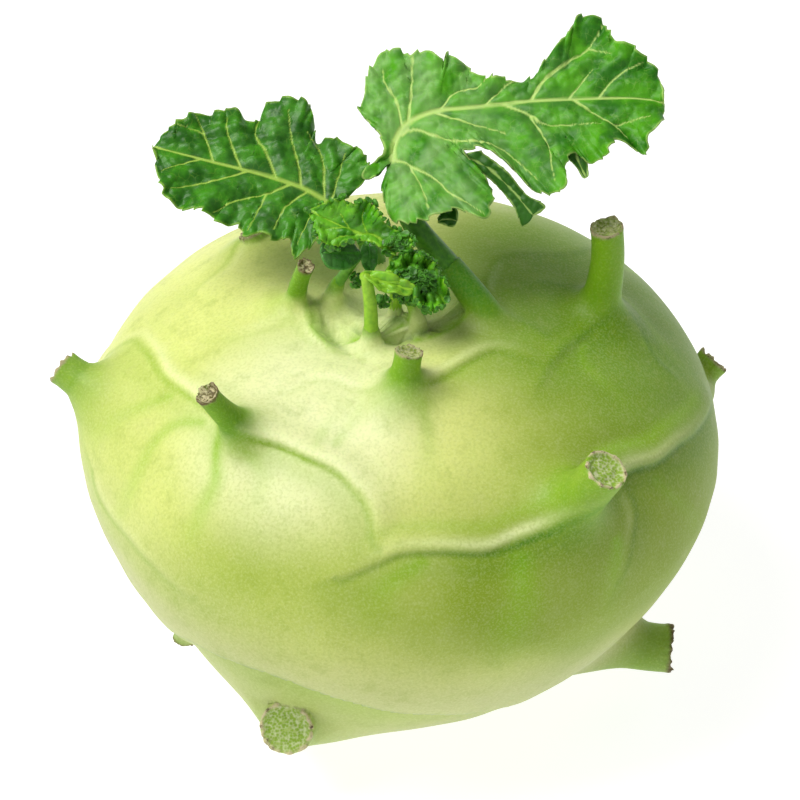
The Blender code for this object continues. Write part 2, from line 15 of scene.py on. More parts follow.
import bmesh
import bpy
import numpy as np
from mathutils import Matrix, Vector


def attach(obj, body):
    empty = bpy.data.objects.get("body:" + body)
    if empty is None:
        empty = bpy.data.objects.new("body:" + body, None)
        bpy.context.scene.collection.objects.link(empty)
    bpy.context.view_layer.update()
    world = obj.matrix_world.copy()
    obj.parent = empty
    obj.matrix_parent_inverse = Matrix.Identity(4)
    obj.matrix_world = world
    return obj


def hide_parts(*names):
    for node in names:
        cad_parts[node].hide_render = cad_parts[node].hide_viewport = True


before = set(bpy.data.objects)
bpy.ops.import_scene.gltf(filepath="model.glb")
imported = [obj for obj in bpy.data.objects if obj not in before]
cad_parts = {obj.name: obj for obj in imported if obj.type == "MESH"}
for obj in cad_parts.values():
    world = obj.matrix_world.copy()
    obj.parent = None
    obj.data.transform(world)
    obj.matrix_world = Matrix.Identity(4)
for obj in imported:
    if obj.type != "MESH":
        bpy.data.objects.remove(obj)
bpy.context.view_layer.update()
LOG = logging.getLogger("kohlrabi")

Array = np.ndarray
Point = tuple[float, float, float]
Pair = tuple[float, float]

MM = 0.001
BODY = "root"

BULB_RADIUS = 45.0
WIDEST_HEIGHT = 35.2
CROWN_RISE = 28.5
CROWN_FULLNESS = 2.15
TAPER_DEPTH = 46.5
TAPER_FULLNESS = 1.51
ROOT_START = 30.0
ROOT_REACH = 6.0
FAR = 99.0


# Numbers and curves


def unit(rows: Any) -> Array:
    """Return each row scaled to length one."""
    rows = np.asarray(rows, dtype=float)
    return rows / np.maximum(np.linalg.norm(rows, axis=-1, keepdims=True), 1e-12)


def direction(longitude: float, latitude: float) -> Array:
    """Return the unit direction from the bulb's centre at a longitude and latitude in degrees."""
    turn, rise = radians(longitude), radians(latitude)
    return np.array([sin(turn) * cos(rise), -cos(turn) * cos(rise), sin(rise)])


def crown_way(across: float, back: float) -> Array:
    """Return the direction to the place of the crown that lies above a point of the widest circle.

    Args:
        across: How far the point is to the right of the bulb's axis.
        back: How far it is behind the axis.

    Returns:
        The unit direction from the bulb's centre.
    """
    share = np.hypot(across, back) / BULB_RADIUS
    height = CROWN_RISE * (1.0 - share**CROWN_FULLNESS) ** (1.0 / CROWN_FULLNESS)
    return unit([across, back, height])


def bell(distance: Array, width: float | Array) -> Array:
    """Return a smooth bump that is 1 at no distance and fades over a width."""
    return np.exp(-((distance / width) ** 2))


def ramp(value: Array, low: float, high: float) -> Array:
    """Return a smooth step from 0 at low to 1 at high."""
    share = np.clip((value - low) / (high - low), 0.0, 1.0)
    return share * share * (3 - 2 * share)


def wobble(points: Array, size: float, seed: int, layers: int = 7) -> Array:
    """Return smooth noise of about -1 to 1 at points.

    Args:
        points: Rows of coordinates in millimetres.
        size: The width of its bumps in millimetres.
        seed: The fixed start of its random waves.
        layers: How many waves are added up.

    Returns:
        One value a row.
    """
    draw = np.random.default_rng(seed)
    total = np.zeros(len(points))
    for _ in range(layers):
        wave = unit(draw.normal(size=points.shape[1])) * draw.uniform(0.6, 1.5) * 2 * pi / size
        total += np.sin(points @ wave + draw.uniform(0, 2 * pi))
    return total / layers**0.5


def smooth_path(points: Any, count: int) -> Array:
    """Return a Catmull-Rom curve through points, even in parameter.

    Args:
        points: Rows of coordinates that the curve passes.
        count: How many points it gets.

    Returns:
        The curve's points.
    """
    path = np.asarray(points, dtype=float)
    padded = np.vstack([2 * path[0] - path[1], path, 2 * path[-1] - path[-2]])
    place = np.linspace(0, len(path) - 1, count)
    cell = np.minimum(place.astype(int), len(path) - 2)
    share = (place - cell)[:, None]
    before, start, end, after = (padded[cell + step] for step in range(4))
    return 0.5 * (
        2 * start
        + (end - before) * share
        + (2 * before - 5 * start + 4 * end - after) * share**2
        + (3 * start - before - 3 * end + after) * share**3
    )


def running_length(line: Array) -> Array:
    """Return how far along a line each of its points is."""
    return np.concatenate([[0.0], np.cumsum(np.linalg.norm(np.diff(line, axis=0), axis=1))])


def along_line(line: Array, shares: Array) -> Array:
    """Return places of a line at shares of its length.

    Args:
        line: Rows of coordinates, which may carry further columns.
        shares: The shares, from 0 at its start to 1 at its end.

    Returns:
        A row for each share.
    """
    run = running_length(line)
    return np.column_stack([np.interp(shares * run[-1], run, column) for column in line.T])


def nearest_on(points: Array, path: Array, reach: float) -> tuple[Array, Array, Array]:
    """Find the nearest place of a path for each point.

    Args:
        points: Rows of coordinates.
        path: The path's points, close together.
        reach: How far from the path it still matters.

    Returns:
        The distance, FAR where it is out of reach, the share of the way along the path and the nearest place.
    """
    near = np.all((points > path.min(0) - reach) & (points < path.max(0) + reach), axis=1)
    gap = np.full(len(points), FAR)
    share = np.zeros(len(points))
    foot = points.copy()
    if near.any():
        starts, spans = path[:-1], np.diff(path, axis=0)
        part = points[near]
        offset = part[:, None, :] - starts[None, :, :]
        travel = np.clip((offset * spans).sum(axis=2) / np.maximum((spans**2).sum(axis=1), 1e-9), 0.0, 1.0)
        gaps = np.linalg.norm(offset - travel[..., None] * spans, axis=2)
        best = gaps.argmin(axis=1)
        row = np.arange(len(part))
        gap[near] = gaps[row, best]
        share[near] = (best + travel[row, best]) / len(spans)
        foot[near] = starts[best] + travel[row, best][:, None] * spans[best]
    return gap, share, foot


def blend_low(first: Array, second: Array, width: float | Array) -> tuple[Array, Array]:
    """Return the smaller of two distances with a rounded change, and the first one's share in it."""
    share = np.clip(0.5 + 0.5 * (second - first) / width, 0.0, 1.0)
    return second * (1 - share) + first * share - width * share * (1 - share), share


def linear(code: str) -> tuple[float, float, float, float]:
    """Return the linear colour that a shader takes.

    Args:
        code: A display colour, such as "dce8a4".

    Returns:
        Red, green, blue and full cover.
    """
    parts = [int(code[start : start + 2], 16) / 255 for start in (0, 2, 4)]
    values = [part / 12.92 if part <= 0.04045 else ((part + 0.055) / 1.055) ** 2.4 for part in parts]
    return values[0], values[1], values[2], 1.0


# Meshes


def placed(points: Array) -> Array:
    """Return places in the scene, in metres above the floor, from ones measured from the bulb's centre."""
    return (np.asarray(points, dtype=float) + np.array([0.0, 0.0, WIDEST_HEIGHT])) * MM


def mesh_object(
    name: str, points: Array, faces: Sequence[Sequence[int]], edges: Sequence[Sequence[int]] = ()
) -> bpy.types.Object:
    """Return a linked mesh object with smooth faces, its place in its mesh.

    Args:
        name: The piece's name.
        points: Rows of millimetres from the bulb's centre.
        faces: Point numbers of each face.
        edges: Point numbers of each edge, where there are no faces.

    Returns:
        The object.
    """
    mesh = bpy.data.meshes.new(name)
    mesh.from_pydata(placed(points).tolist(), edges, faces)
    mesh.shade_smooth()
    item = bpy.data.objects.new(name, mesh)
    bpy.context.scene.collection.objects.link(item)
    return item


def write_mask(item: bpy.types.Object, name: str, values: Array) -> None:
    """Store one number a vertex as an attribute that the finishes read."""
    layer = item.data.attributes.new(name, "FLOAT", "POINT")
    layer.data.foreach_set("value", np.asarray(values, dtype=np.float32))


def write_places(item: bpy.types.Object, name: str, values: Array) -> None:
    """Store one vector a vertex as an attribute that the finishes read."""
    layer = item.data.attributes.new(name, "FLOAT_VECTOR", "POINT")
    layer.data.foreach_set("vector", np.asarray(values, dtype=np.float32).ravel())


def places_of(item: bpy.types.Object) -> Array:
    """Return an object's vertices in millimetres from the bulb's centre."""
    flat = np.zeros(len(item.data.vertices) * 3)
    item.data.vertices.foreach_get("co", flat)
    return flat.reshape(-1, 3) / MM - np.array([0.0, 0.0, WIDEST_HEIGHT])


def set_places(item: bpy.types.Object, points: Array) -> None:
    """Move an object's vertices to places in millimetres from the bulb's centre."""
    item.data.vertices.foreach_set("co", placed(points).ravel())
    item.data.update()


def baked(item: bpy.types.Object) -> bpy.types.Object:
    """Turn an object's evaluated shape into its plain mesh and drop its modifiers.

    Args:
        item: The object.

    Returns:
        The same object.
    """
    bpy.context.view_layer.update()
    evaluated = item.evaluated_get(bpy.context.evaluated_depsgraph_get())
    mesh = bpy.data.meshes.new_from_object(evaluated)
    item.modifiers.clear()
    item.data = mesh
    return item


def joined(items: Sequence[bpy.types.Object], name: str) -> bpy.types.Object:
    """Join mesh objects into the first one.

    Args:
        items: The objects.
        name: The name that the joined object and its mesh get.

    Returns:
        The first object, which now holds them all.
    """
    first = items[0]
    with bpy.context.temp_override(active_object=first, object=first, selected_editable_objects=list(items)):
        bpy.ops.object.join()
    first.name = name
    first.data.name = name
    return first


def recalculated(item: bpy.types.Object) -> None:
    """Point every face of a closed mesh out of its body.

    Args:
        item: The mesh object.
    """
    work = bmesh.new()
    work.from_mesh(item.data)
    bmesh.ops.recalc_face_normals(work, faces=work.faces)
    work.to_mesh(item.data)
    work.free()


def swept(line: Array, radii: Array, sides: int) -> tuple[Array, list[list[int]]]:
    """Return the points and faces of a closed round tube.

    Args:
        line: Points of the middle line.
        radii: The radius at each.
        sides: Faces round the tube.

    Returns:
        Points, and faces that point outwards.
    """
    course = unit(np.gradient(line, axis=0))
    side = unit(np.cross(course[0], [0.31, 0.83, 0.46]))
    angles = np.linspace(0, 2 * pi, sides, endpoint=False)
    rings = []
    for step, radius, middle in zip(course, radii, line):
        side = unit(side - step * (side @ step))
        other = np.cross(step, side)
        rings.append(middle + radius * (np.outer(np.cos(angles), side) + np.outer(np.sin(angles), other)))
    points = np.vstack([*rings, line[:1], line[-1:]])
    faces = []
    for ring in range(len(line) - 1):
        for turn in range(sides):
            near, far = ring * sides + turn, ring * sides + (turn + 1) % sides
            faces.append([near, far, far + sides, near + sides])
    first, last = len(line) * sides, len(line) * sides + 1
    base = (len(line) - 1) * sides
    for turn in range(sides):
        following = (turn + 1) % sides
        faces.append([first, following, turn])
        faces.append([last, base + turn, base + following])
    return points, faces


# Shader maths


class Value:
    """A number of a shader: a socket that takes Python's operators."""

    def __init__(self, paint: "Graph", link: Any) -> None:
        """Keep the graph that owns the nodes, and the socket or number."""
        self.paint = paint
        self.link = link

    def maths(self, operation: str, *others: Any) -> "Value":
        """Return the result of a Math node on this value and others."""
        inputs = dict(enumerate([self.link, *others]))
        node = self.paint.node("ShaderNodeMath", {"operation": operation}, inputs)
        return Value(self.paint, node.outputs[0])

    def __add__(self, other: Any) -> "Value":
        """Add."""
        return self.maths("ADD", other)

    __radd__ = __add__

    def __mul__(self, other: Any) -> "Value":
        """Multiply."""
        return self.maths("MULTIPLY", other)

    __rmul__ = __mul__

    def __sub__(self, other: Any) -> "Value":
        """Take away."""
        return self.maths("SUBTRACT", other)

    def __rsub__(self, other: float) -> "Value":
        """Take this value away from a number."""
        return Value(self.paint, other) - self

    def step(self, low: float, high: float) -> "Value":
        """Return a smooth step from 0 at low to 1 at high."""
        inputs = {"Value": self.link, "From Min": low, "From Max": high, "To Min": 0.0, "To Max": 1.0}
        node = self.paint.node("ShaderNodeMapRange", {"interpolation_type": "SMOOTHSTEP"}, inputs)
        return Value(self.paint, node.outputs[0])


class Graph:
    """Makes and links the nodes of one tree."""

    def __init__(self, tree: Any) -> None:
        """Keep the tree."""
        self.tree = tree

    def node(self, kind: str, settings: dict[str, Any] | None = None, inputs: dict | None = None) -> Any:
        """Make a node.

        Args:
            kind: The node's type.
            settings: Its own settings, set first.
            inputs: Numbers, colours or links for its sockets, by name or index.

        Returns:
            The node.
        """
        node = self.tree.nodes.new(kind)
        for key, setting in (settings or {}).items():
            setattr(node, key, setting)
        for key, source in (inputs or {}).items():
            self.feed(node.inputs[key], source)
        return node

    def feed(self, socket: Any, source: Any) -> None:
        """Give a socket a link or its own value.

        Args:
            socket: The socket.
            source: A value, another node's socket, a number or a colour.
        """
        source = source.link if isinstance(source, Value) else source
        if isinstance(source, bpy.types.NodeSocket):
            self.tree.links.new(source, socket)
        else:
            socket.default_value = source


class Paint(Graph):
    """The node tree of one material."""

    def __init__(self, name: str) -> None:
        """Make a material with a Principled shader."""
        self.material = bpy.data.materials.new(name)
        self.material.use_nodes = True
        super().__init__(self.material.node_tree)
        self.shader = self.tree.nodes["Principled BSDF"]
        self.place = self.node("ShaderNodeTexCoord").outputs["Object"]

    def mask(self, name: str) -> Value:
        """Return an attribute of the mesh as a value."""
        return Value(self, self.node("ShaderNodeAttribute", {"attribute_name": name}).outputs["Fac"])

    def spot(self, name: str) -> Any:
        """Return a vector attribute of the mesh."""
        return self.node("ShaderNodeAttribute", {"attribute_name": name}).outputs["Vector"]

    def noise(self, size: float, detail: float = 2.0, vector: Any = None, rough: float = 0.5) -> Value:
        """Return noise.

        Args:
            size: The width of its bumps in the vector's unit, metres for the object's own place.
            detail: How many finer layers it has.
            vector: Where it is read, at the object's own place if not given.
            rough: How strong the finer layers are.

        Returns:
            A value of about 0 to 1.
        """
        inputs = {"Vector": vector or self.place, "Scale": 1.0 / size, "Detail": detail, "Roughness": rough}
        node = self.node("ShaderNodeTexNoise", {"noise_dimensions": "3D"}, inputs)
        return Value(self, node.outputs[0])

    def cells(self, size: float, feature: str, vector: Any = None) -> Value:
        """Return a Voronoi pattern's distance, in cells of a size."""
        inputs = {"Vector": vector or self.place, "Scale": 1.0 / size}
        node = self.node("ShaderNodeTexVoronoi", {"feature": feature}, inputs)
        return Value(self, node.outputs["Distance"])

    def mix(self, first: Any, second: Any, share: Any) -> Any:
        """Return a colour between two.

        Args:
            first: The colour at share 0, as a display code or a link.
            second: The colour at share 1, given the same way.
            share: A value or number.

        Returns:
            The colour's link.
        """
        colours = [linear(colour) if isinstance(colour, str) else colour for colour in (first, second)]
        inputs = {0: share, 6: colours[0], 7: colours[1]}
        node = self.node("ShaderNodeMix", {"data_type": "RGBA", "clamp_factor": True}, inputs)
        return node.outputs[2]

    def layered(self, colour: Any, layers: Sequence[tuple[str, str, float]]) -> Any:
        """Lay colours over one another by the mesh's masks.

        Args:
            colour: The lowest colour.
            layers: For each layer its colour, its mask and its strength.

        Returns:
            The colour's link.
        """
        for shade, mask, strength in layers:
            colour = self.mix(colour, shade, self.mask(mask) * strength)
        return colour

    def bump(self, height: Value, depth: float) -> Any:
        """Return a normal from a height of 0 to 1 and its depth in millimetres."""
        return self.node("ShaderNodeBump", None, {"Distance": depth * MM, "Height": height}).outputs[0]

    def finish(self, **sockets: Any) -> bpy.types.Material:
        """Set the Principled shader's sockets.

        Args:
            sockets: What each gets, by its name with _ for a space.

        Returns:
            The material.
        """
        for name, source in sockets.items():
            self.feed(self.shader.inputs[name.replace("_", " ")], source)
        return self.material


@dataclass(frozen=True)
class SkinFinish:
    """The waxy skin of the bulb, its ridges and its cut stalks."""

    name: str = "bulb_skin"
    pale: str = "e4ea8c"
    ripe: str = "8aa420"
    # Grey green of the random mottle, and painted shade towards the bottom.
    wax_and_painted_under_shade: str = "bcc284"
    crest: str = "edf5b6"
    # Pale crest colour, also used for the speckle; on the ridges it is partly the scars' own pale colour and
    # partly a painted highlight on their upper side.
    groove: str = "8cb400"
    deep: str = "447a04"
    line: str = "8cbe0c"
    stalk: str = "78a810"
    stalk_shade: str = "4a8606"
    # Painted highlight: a whitish band on the upper front of the bulb.
    painted_highlight: str = "f2f5cc"
    # Painted shade: dark green along the crease under the swelling.
    crease: str = "3f7a10"
    root: str = "458410"
    # Painted shade: dark green crescents in the crown's hollows.
    floor: str = "d9e8a8"
    hollow: str = "5f8a2a"
    # Painted shadow of the right leaf on the upper right back of the bulb.
    green: str = "6a9a0e"
    base: str = "accb50"
    pith: str = "8fae3e"
    pith_light: str = "dfe3ba"
    cork: str = "cdc29a"
    bark: str = "4f3a20"

    def material(self) -> bpy.types.Material:
        """Return the material."""
        paint = Paint(self.name)
        broad = paint.noise(0.022)
        grain = paint.noise(0.0004, 2.5)
        pores = paint.cells(0.0004, "F1")
        colour = self.stalks(paint, self.skin(paint, broad))
        speckle = paint.noise(0.0003, 2.5, rough=0.7).step(0.42, 0.68)
        colour = paint.mix(colour, self.crest, speckle * (0.15 - 0.09 * paint.mask("stalk")))
        colour = paint.mix(colour, self.ripe, grain.step(0.42, 0.7) * (0.15 + 0.15 * paint.mask("ripe")))
        colour = paint.mix(colour, self.cut_end(paint, pores), paint.mask("cut"))
        relief = grain * 0.35 + paint.noise(0.0012, 3.0) * 0.65 + paint.mask("cut") * pores * 1.5
        return paint.finish(
            Base_Color=colour,
            Roughness=0.42 + 0.16 * broad + 0.35 * paint.mask("cut"),
            Normal=paint.bump(relief, 0.05),
            Subsurface_Weight=0.15,
            Subsurface_Radius=(0.6, 1.0, 0.25),
            Subsurface_Scale=0.002,
            Specular_IOR_Level=0.24,
            Coat_Weight=0.06,
            Coat_Roughness=0.35,
        )

    def skin(self, paint: Paint, broad: Value) -> Any:
        """Colour the waxy skin, its streaks, grooves and crests, with painted highlights, shadow and shade.

        Args:
            paint: The material's nodes.
            broad: A broad noise.

        Returns:
            The colour's link.
        """
        colour = paint.mix(self.pale, self.ripe, broad.step(0.3, 0.7) * 0.18 + paint.mask("ripe") * 0.92)
        # Painted highlight: whitish on the upper front, broken up by noise.
        colour = paint.mix(colour, self.painted_highlight, paint.mask("painted_highlight") * (0.35 + 0.5 * paint.noise(0.007, 3.0)))
        colour = paint.layered(
            colour,
            (
                # Painted shadow of the right leaf, in a darker green.
                (self.green, "green", 0.8),
                # Painted shade: greyer and darker towards the bottom (the mask named bloom).
                (self.wax_and_painted_under_shade, "bloom", 0.8),
                (self.base, "base", 0.9),
                (self.floor, "crown", 0.8),
                # Painted shade in the crown's hollows, inside the rims.
                (self.hollow, "hollow", 0.8),
            ),
        )
        colour = paint.mix(colour, self.line, paint.mask("streak") * (0.7 + 0.5 * paint.noise(0.0011, 3.0)))
        groove = paint.mix(self.groove, self.deep, paint.mask("ripe"))
        colour = paint.mix(colour, groove, paint.mask("groove") * (0.75 + 0.4 * paint.noise(0.0009, 3.0)))
        mottle = paint.noise(0.0035, 4.0, rough=0.65)
        colour = paint.mix(colour, self.ripe, mottle.step(0.48, 0.75) * 0.3)
        colour = paint.mix(colour, self.wax_and_painted_under_shade, mottle.step(0.5, 0.25) * 0.16)
        # Pale crests, partly a painted highlight, then painted shade along the crease.
        return paint.layered(colour, ((self.crest, "crest", 0.8), (self.crease, "crease", 1.3)))

    def stalks(self, paint: Paint, colour: Any) -> Any:
        """Colour the cut stalks and the roots of the leaf stalks.

        Args:
            paint: The material's nodes.
            colour: The skin's colour.

        Returns:
            The colour's link.
        """
        stalk = paint.mix(self.stalk, self.stalk_shade, paint.mask("shade"))
        stalk = paint.mix(stalk, self.line, paint.noise(0.0006, 3.0).step(0.52, 0.75) * 0.45)
        colour = paint.mix(colour, stalk, paint.mask("stalk"))
        return paint.mix(colour, self.root, paint.mask("root"))

    def cut_end(self, paint: Paint, pores: Value) -> Any:
        """Colour the cut ends, from fresh pith to dry bark.

        Args:
            paint: The material's nodes.
            pores: The pattern of the pores.

        Returns:
            The colour's link.
        """
        rim = paint.mask("rim")
        pith = paint.mix(self.pith, self.pith_light, pores.step(0.3, 0.9) * 0.65)
        fibre = paint.noise(0.0006, 4.0, rough=0.7).step(0.42, 0.6)
        dead = paint.mix(self.bark, self.cork, fibre * (1 - 0.8 * rim))
        cut = paint.mix(dead, paint.mix(pith, self.cork, rim), paint.mask("fresh"))
        return paint.mix(cut, self.bark, paint.noise(0.0009, 4.0, rough=0.7).step(0.5, 0.66) * rim)


@dataclass(frozen=True)
class LeafFinish:
    """The blade of a leaf, with its veins, bloom and underside, paler save on the right leaf, whose darker
    underside is painted shade.
    """

    name: str
    blade: str
    deep: str
    vein: str
    under: str
    bloom: str
    bloom_share: float = 0.5
    gloss: float = 0.42

    def material(self) -> bpy.types.Material:
        """Return the material."""
        paint = Paint(self.name)
        plan = paint.spot("plan")
        colour = paint.mix(self.blade, self.deep, paint.noise(3.5, 3.0, plan).step(0.35, 0.65))
        shift = paint.node("ShaderNodeTexNoise", None, {"Vector": plan, "Scale": 0.9, "Detail": 2.0})
        inputs = {0: shift.outputs["Color"], 1: (0.9, 0.9, 0.9), 2: plan}
        bent = paint.node("ShaderNodeVectorMath", {"operation": "MULTIPLY_ADD"}, inputs).outputs[0]
        puffs = paint.cells(1.5, "SMOOTH_F1", bent)
        # Painted shade: darker towards the edges of the puckers, where the bump dips.
        colour = paint.mix(colour, self.deep, puffs.step(0.3, 0.75) * 0.22)
        colour = paint.mix(colour, self.bloom, paint.mask("bloom") * self.bloom_share)
        net = paint.cells(1.0, "DISTANCE_TO_EDGE", bent).step(0.05, 0.0)
        colour = paint.mix(colour, self.vein, net * 0.16 * paint.noise(2.0, 1.0, plan).step(0.35, 0.65))
        colour = paint.mix(colour, self.vein, paint.mask("pale") * paint.noise(1.2, 2.0, plan).step(0.2, 0.7))
        layers = ((self.under, "under", 1.0), (self.vein, "vein", 0.9), (self.vein, "edge", 0.55))
        colour = paint.layered(colour, layers)
        relief = puffs * -0.5 + paint.mask("vein") * -0.6 + paint.noise(0.3, 2.0, plan) * 0.2
        return paint.finish(
            Base_Color=colour,
            Roughness=self.gloss + 0.15 * paint.noise(1.0, 2.0, plan),
            Normal=paint.bump(relief, 0.12),
            Subsurface_Weight=0.1,
            Subsurface_Radius=(0.4, 1.0, 0.15),
            Subsurface_Scale=0.001,
            Specular_IOR_Level=0.3,
        )


@dataclass(frozen=True)
class StalkFinish:
    """The fibrous skin of a leaf stalk and of the ribs under a blade."""

    name: str
    light: str
    dark: str

    def material(self) -> bpy.types.Material:
        """Return the material."""
        paint = Paint(self.name)
        grain = paint.noise(0.0007, 4.0)
        colour = paint.mix(self.dark, self.light, grain.step(0.3, 0.7) * 0.6 + paint.noise(0.006, 1.0) * 0.4)
        return paint.finish(
            Base_Color=colour,
            Roughness=0.4 + 0.15 * grain,
            Normal=paint.bump(grain, 0.05),
            Subsurface_Weight=0.15,
            Subsurface_Radius=(0.5, 1.0, 0.2),
            Subsurface_Scale=0.002,
        )


@dataclass(frozen=True)
class FloorFinish:
    """The plain pale floor."""

    name: str = "floor_white"
    shade: float = 0.45
    glow: float = 0.82

    def material(self) -> bpy.types.Material:
        """Return the material."""
        grey = (self.shade, self.shade, self.shade, 1.0)
        return Paint(self.name).finish(
            Base_Color=grey,
            Roughness=0.9,
            Specular_IOR_Level=0.0,
            Emission_Color=(1.0, 1.0, 1.0, 1.0),
            Emission_Strength=self.glow,
        )


# The bulb


class CutLook(Enum):
    """What the cut end of a stalk looks like, as the share of it that is still fresh."""

    FRESH = 1.0
    MIXED = 0.55
    DRY = 0.12


@dataclass(frozen=True)
class Stub:
    """A cut leaf stalk: where it leaves the bulb, the centre of its cut end and its radii."""

    longitude: float
    latitude: float
    tip: Point
    cut_radius: float
    base_radius: float
    flare: float
    look: CutLook
    green: float
    root_depth: float = 3.5
    bend: float = 0.25

    def way(self) -> Array:
        """Return the direction in which it leaves the bulb."""
        return direction(self.longitude, self.latitude)

    def line(self, count: int, beyond: float = 0.0) -> tuple[Array, Array]:
        """Return points of its middle line and the radius at each, run on past the cut by beyond."""
        root = plain_surface(self.way()[None, :])[0] - self.root_depth * self.way()
        tip = np.array(self.tip)
        shares = np.linspace(0.0, 1.0, count)
        bow = self.bend * np.linalg.norm(tip - root) * shares * (1 - shares)
        points = root + np.outer(shares, tip - root) + np.outer(bow, self.way())
        radii = self.cut_radius + (self.base_radius - self.cut_radius) * (1 - shares) ** 2
        if beyond:
            points = np.vstack([points, points[-1] + beyond * unit(points[-1] - points[-2])])
            radii = np.append(radii, self.cut_radius)
        return points, radii


def bulb_radius(ways: Array) -> Array:
    """Return the distance from the bulb's centre to its plain turned surface along unit directions.

    Args:
        ways: Unit directions from the bulb's centre.

    Returns:
        A distance for each.
    """
    across = np.hypot(ways[:, 0], ways[:, 1])
    height = np.abs(ways[:, 2])
    upper = ways[:, 2] >= 0
    fullness = np.where(upper, CROWN_FULLNESS, TAPER_FULLNESS)
    reach = np.where(upper, CROWN_RISE, TAPER_DEPTH)
    powers = (across / BULB_RADIUS) ** fullness + (height / reach) ** fullness
    return powers ** (-1.0 / fullness)


def plain_surface(ways: Array) -> Array:
    """Return points of the plain turned surface, which rounds in at its root and is cut flat there.

    Args:
        ways: Unit directions from the bulb's centre.

    Returns:
        A point for each.
    """
    ways = unit(ways)
    points = ways * bulb_radius(ways)[:, None]
    deep = np.maximum(-points[:, 2] - ROOT_START, 0.0)
    rounded = -ROOT_START - ROOT_REACH * (1 - np.exp(-deep / ROOT_REACH))
    points[:, 2] = np.where(deep > 0, rounded, points[:, 2])
    points[:, 2] = np.maximum(points[:, 2], -WIDEST_HEIGHT)
    return points


def unrounded(points: Array) -> Array:
    """Return points as they were before the root was rounded in.

    Args:
        points: Points near the surface.

    Returns:
        The points, moved down.
    """
    deep = np.clip((-points[:, 2] - ROOT_START) / ROOT_REACH, 0.0, 0.9)
    result = points.copy()
    result[:, 2] = np.where(deep > 0, -ROOT_START + ROOT_REACH * np.log(1 - deep), points[:, 2])
    return result


@dataclass(frozen=True)
class Ridge:
    """A leaf scar's ridge, by longitudes and latitudes from its stalk on, with its height and colours."""

    corners: tuple[Pair, ...]
    strength: float
    climb: float = 1.2
    upper_line: float = 0.0
    # Crest strength: the scar's own pale colour, partly a painted highlight on the upper side.
    crest: float = 0.8
    green: float = 0.8


@dataclass(frozen=True)
class Streak:
    """A green streak in the skin, by longitudes and latitudes, with its strength and width."""

    corners: tuple[Pair, ...]
    strength: float
    width: float = 1.1


RIDGES: tuple[Ridge, ...] = (
    Ridge(((-2, 54), (-14, 52), (-26, 53), (-35, 51), (-40, 46)), 0.3, 1.2, 0.0, 0.3, 0.35),
    Ridge(
        ((8, 54), (16, 55.5), (25, 57), (36, 58), (45, 57), (50, 54), (55, 48)),
        0.42, 1.2, 0.2, 0.45, 0.9,
    ),
    Ridge(((-66, 61), (-42, 60), (-28, 62), (-13, 64)), 0.12, 0.0, 0.0, 0.2, 0.3),
    Ridge(((-69, 56), (-71, 50), (-77, 42)), 0.15, 0.0, 0.0, 0.2, 0.3),
    Ridge(
        ((-46, 35), (-54, 35), (-62, 34), (-72, 32), (-81, 31), (-90, 28), (-93, 25), (-94, 20)),
        0.7, 1.2, 0.2, 0.8, 0.85,
    ),
    Ridge(
        ((-39, 35.5), (-30, 36), (-20, 35), (-15, 34), (-11, 32), (-6, 28), (-4, 22)),
        0.95, 1.2, 0.1, 0.7, 1.0,
    ),
    Ridge(((88, 40), (81, 42), (73, 44), (65, 46), (57, 46), (46, 44)), 0.3, 0.8, 0.0, 0.0, 0.9),
    Ridge(((90, 38), (89, 34), (84, 30), (82, 27), (82, 23)), 0.28, 0.8, 0.0, 0.0, 0.8),
    Ridge(
        ((35, 25), (31, 23.5), (27, 22), (22, 21), (16, 20), (8, 21), (0, 21), (-5, 19), (-11, 16)),
        1.0, 1.6, 0.5, 1.0, 1.0,
    ),
    Ridge(
        ((45, 24), (51, 23), (58, 20.5), (66, 19), (72, 17), (82, 14), (88, 12)),
        0.85, 1.2, 1.0, 0.55, 1.0,
    ),
    Ridge(((46, 20), (46, 16), (43, 12), (40, 7)), 0.25, 0.6, 0.0, 0.2, 0.6),
    Ridge(((-70, 8), (-66, 6), (-57, 6), (-47, 5), (-39, 4)), 0.16, 0.0, 0.0, 0.2, 0.6),
    Ridge(((-92, 11), (-101, 9), (-112, 6), (-124, 7)), 0.7),
    Ridge(((111, 1), (122, 5), (138, 10)), 0.6, 0.8),
    Ridge(((-128, 44), (-140, 43), (-156, 37)), 0.6),
    Ridge(((-120, 45), (-110, 44), (-100, 39)), 0.15, 0.0, 0.0, 0.3, 0.5),
    Ridge(((166, -6), (154, 0), (142, 3)), 0.6),
    Ridge(((174, -6), (186, -1), (198, 1)), 0.6),
    Ridge(
        ((78, 67), (97, 67), (113, 63), (117, 59), (117, 52), (118, 42), (124, 32)),
        0.25, 0.0, 0.0, 0.0, 0.9,
    ),
    Ridge(((77, 66), (89, 61), (96, 56), (98, 51), (97, 45), (95, 41)), 0.25, 0.0, 0.0, 0.0, 0.9),
    Ridge(((61, 66), (64, 63), (67, 58), (67, 54), (67, 49)), 0.2, 0.0, 0.0, 0.0, 0.6),
)
CREASE: tuple[Pair, ...] = (
    (-58, -20), (-43, -10), (-33, -8), (-24, -7), (-17, -8.5), (-9, -12), (-1, -16), (6, -19), (13, -23),
    (21, -28),
)
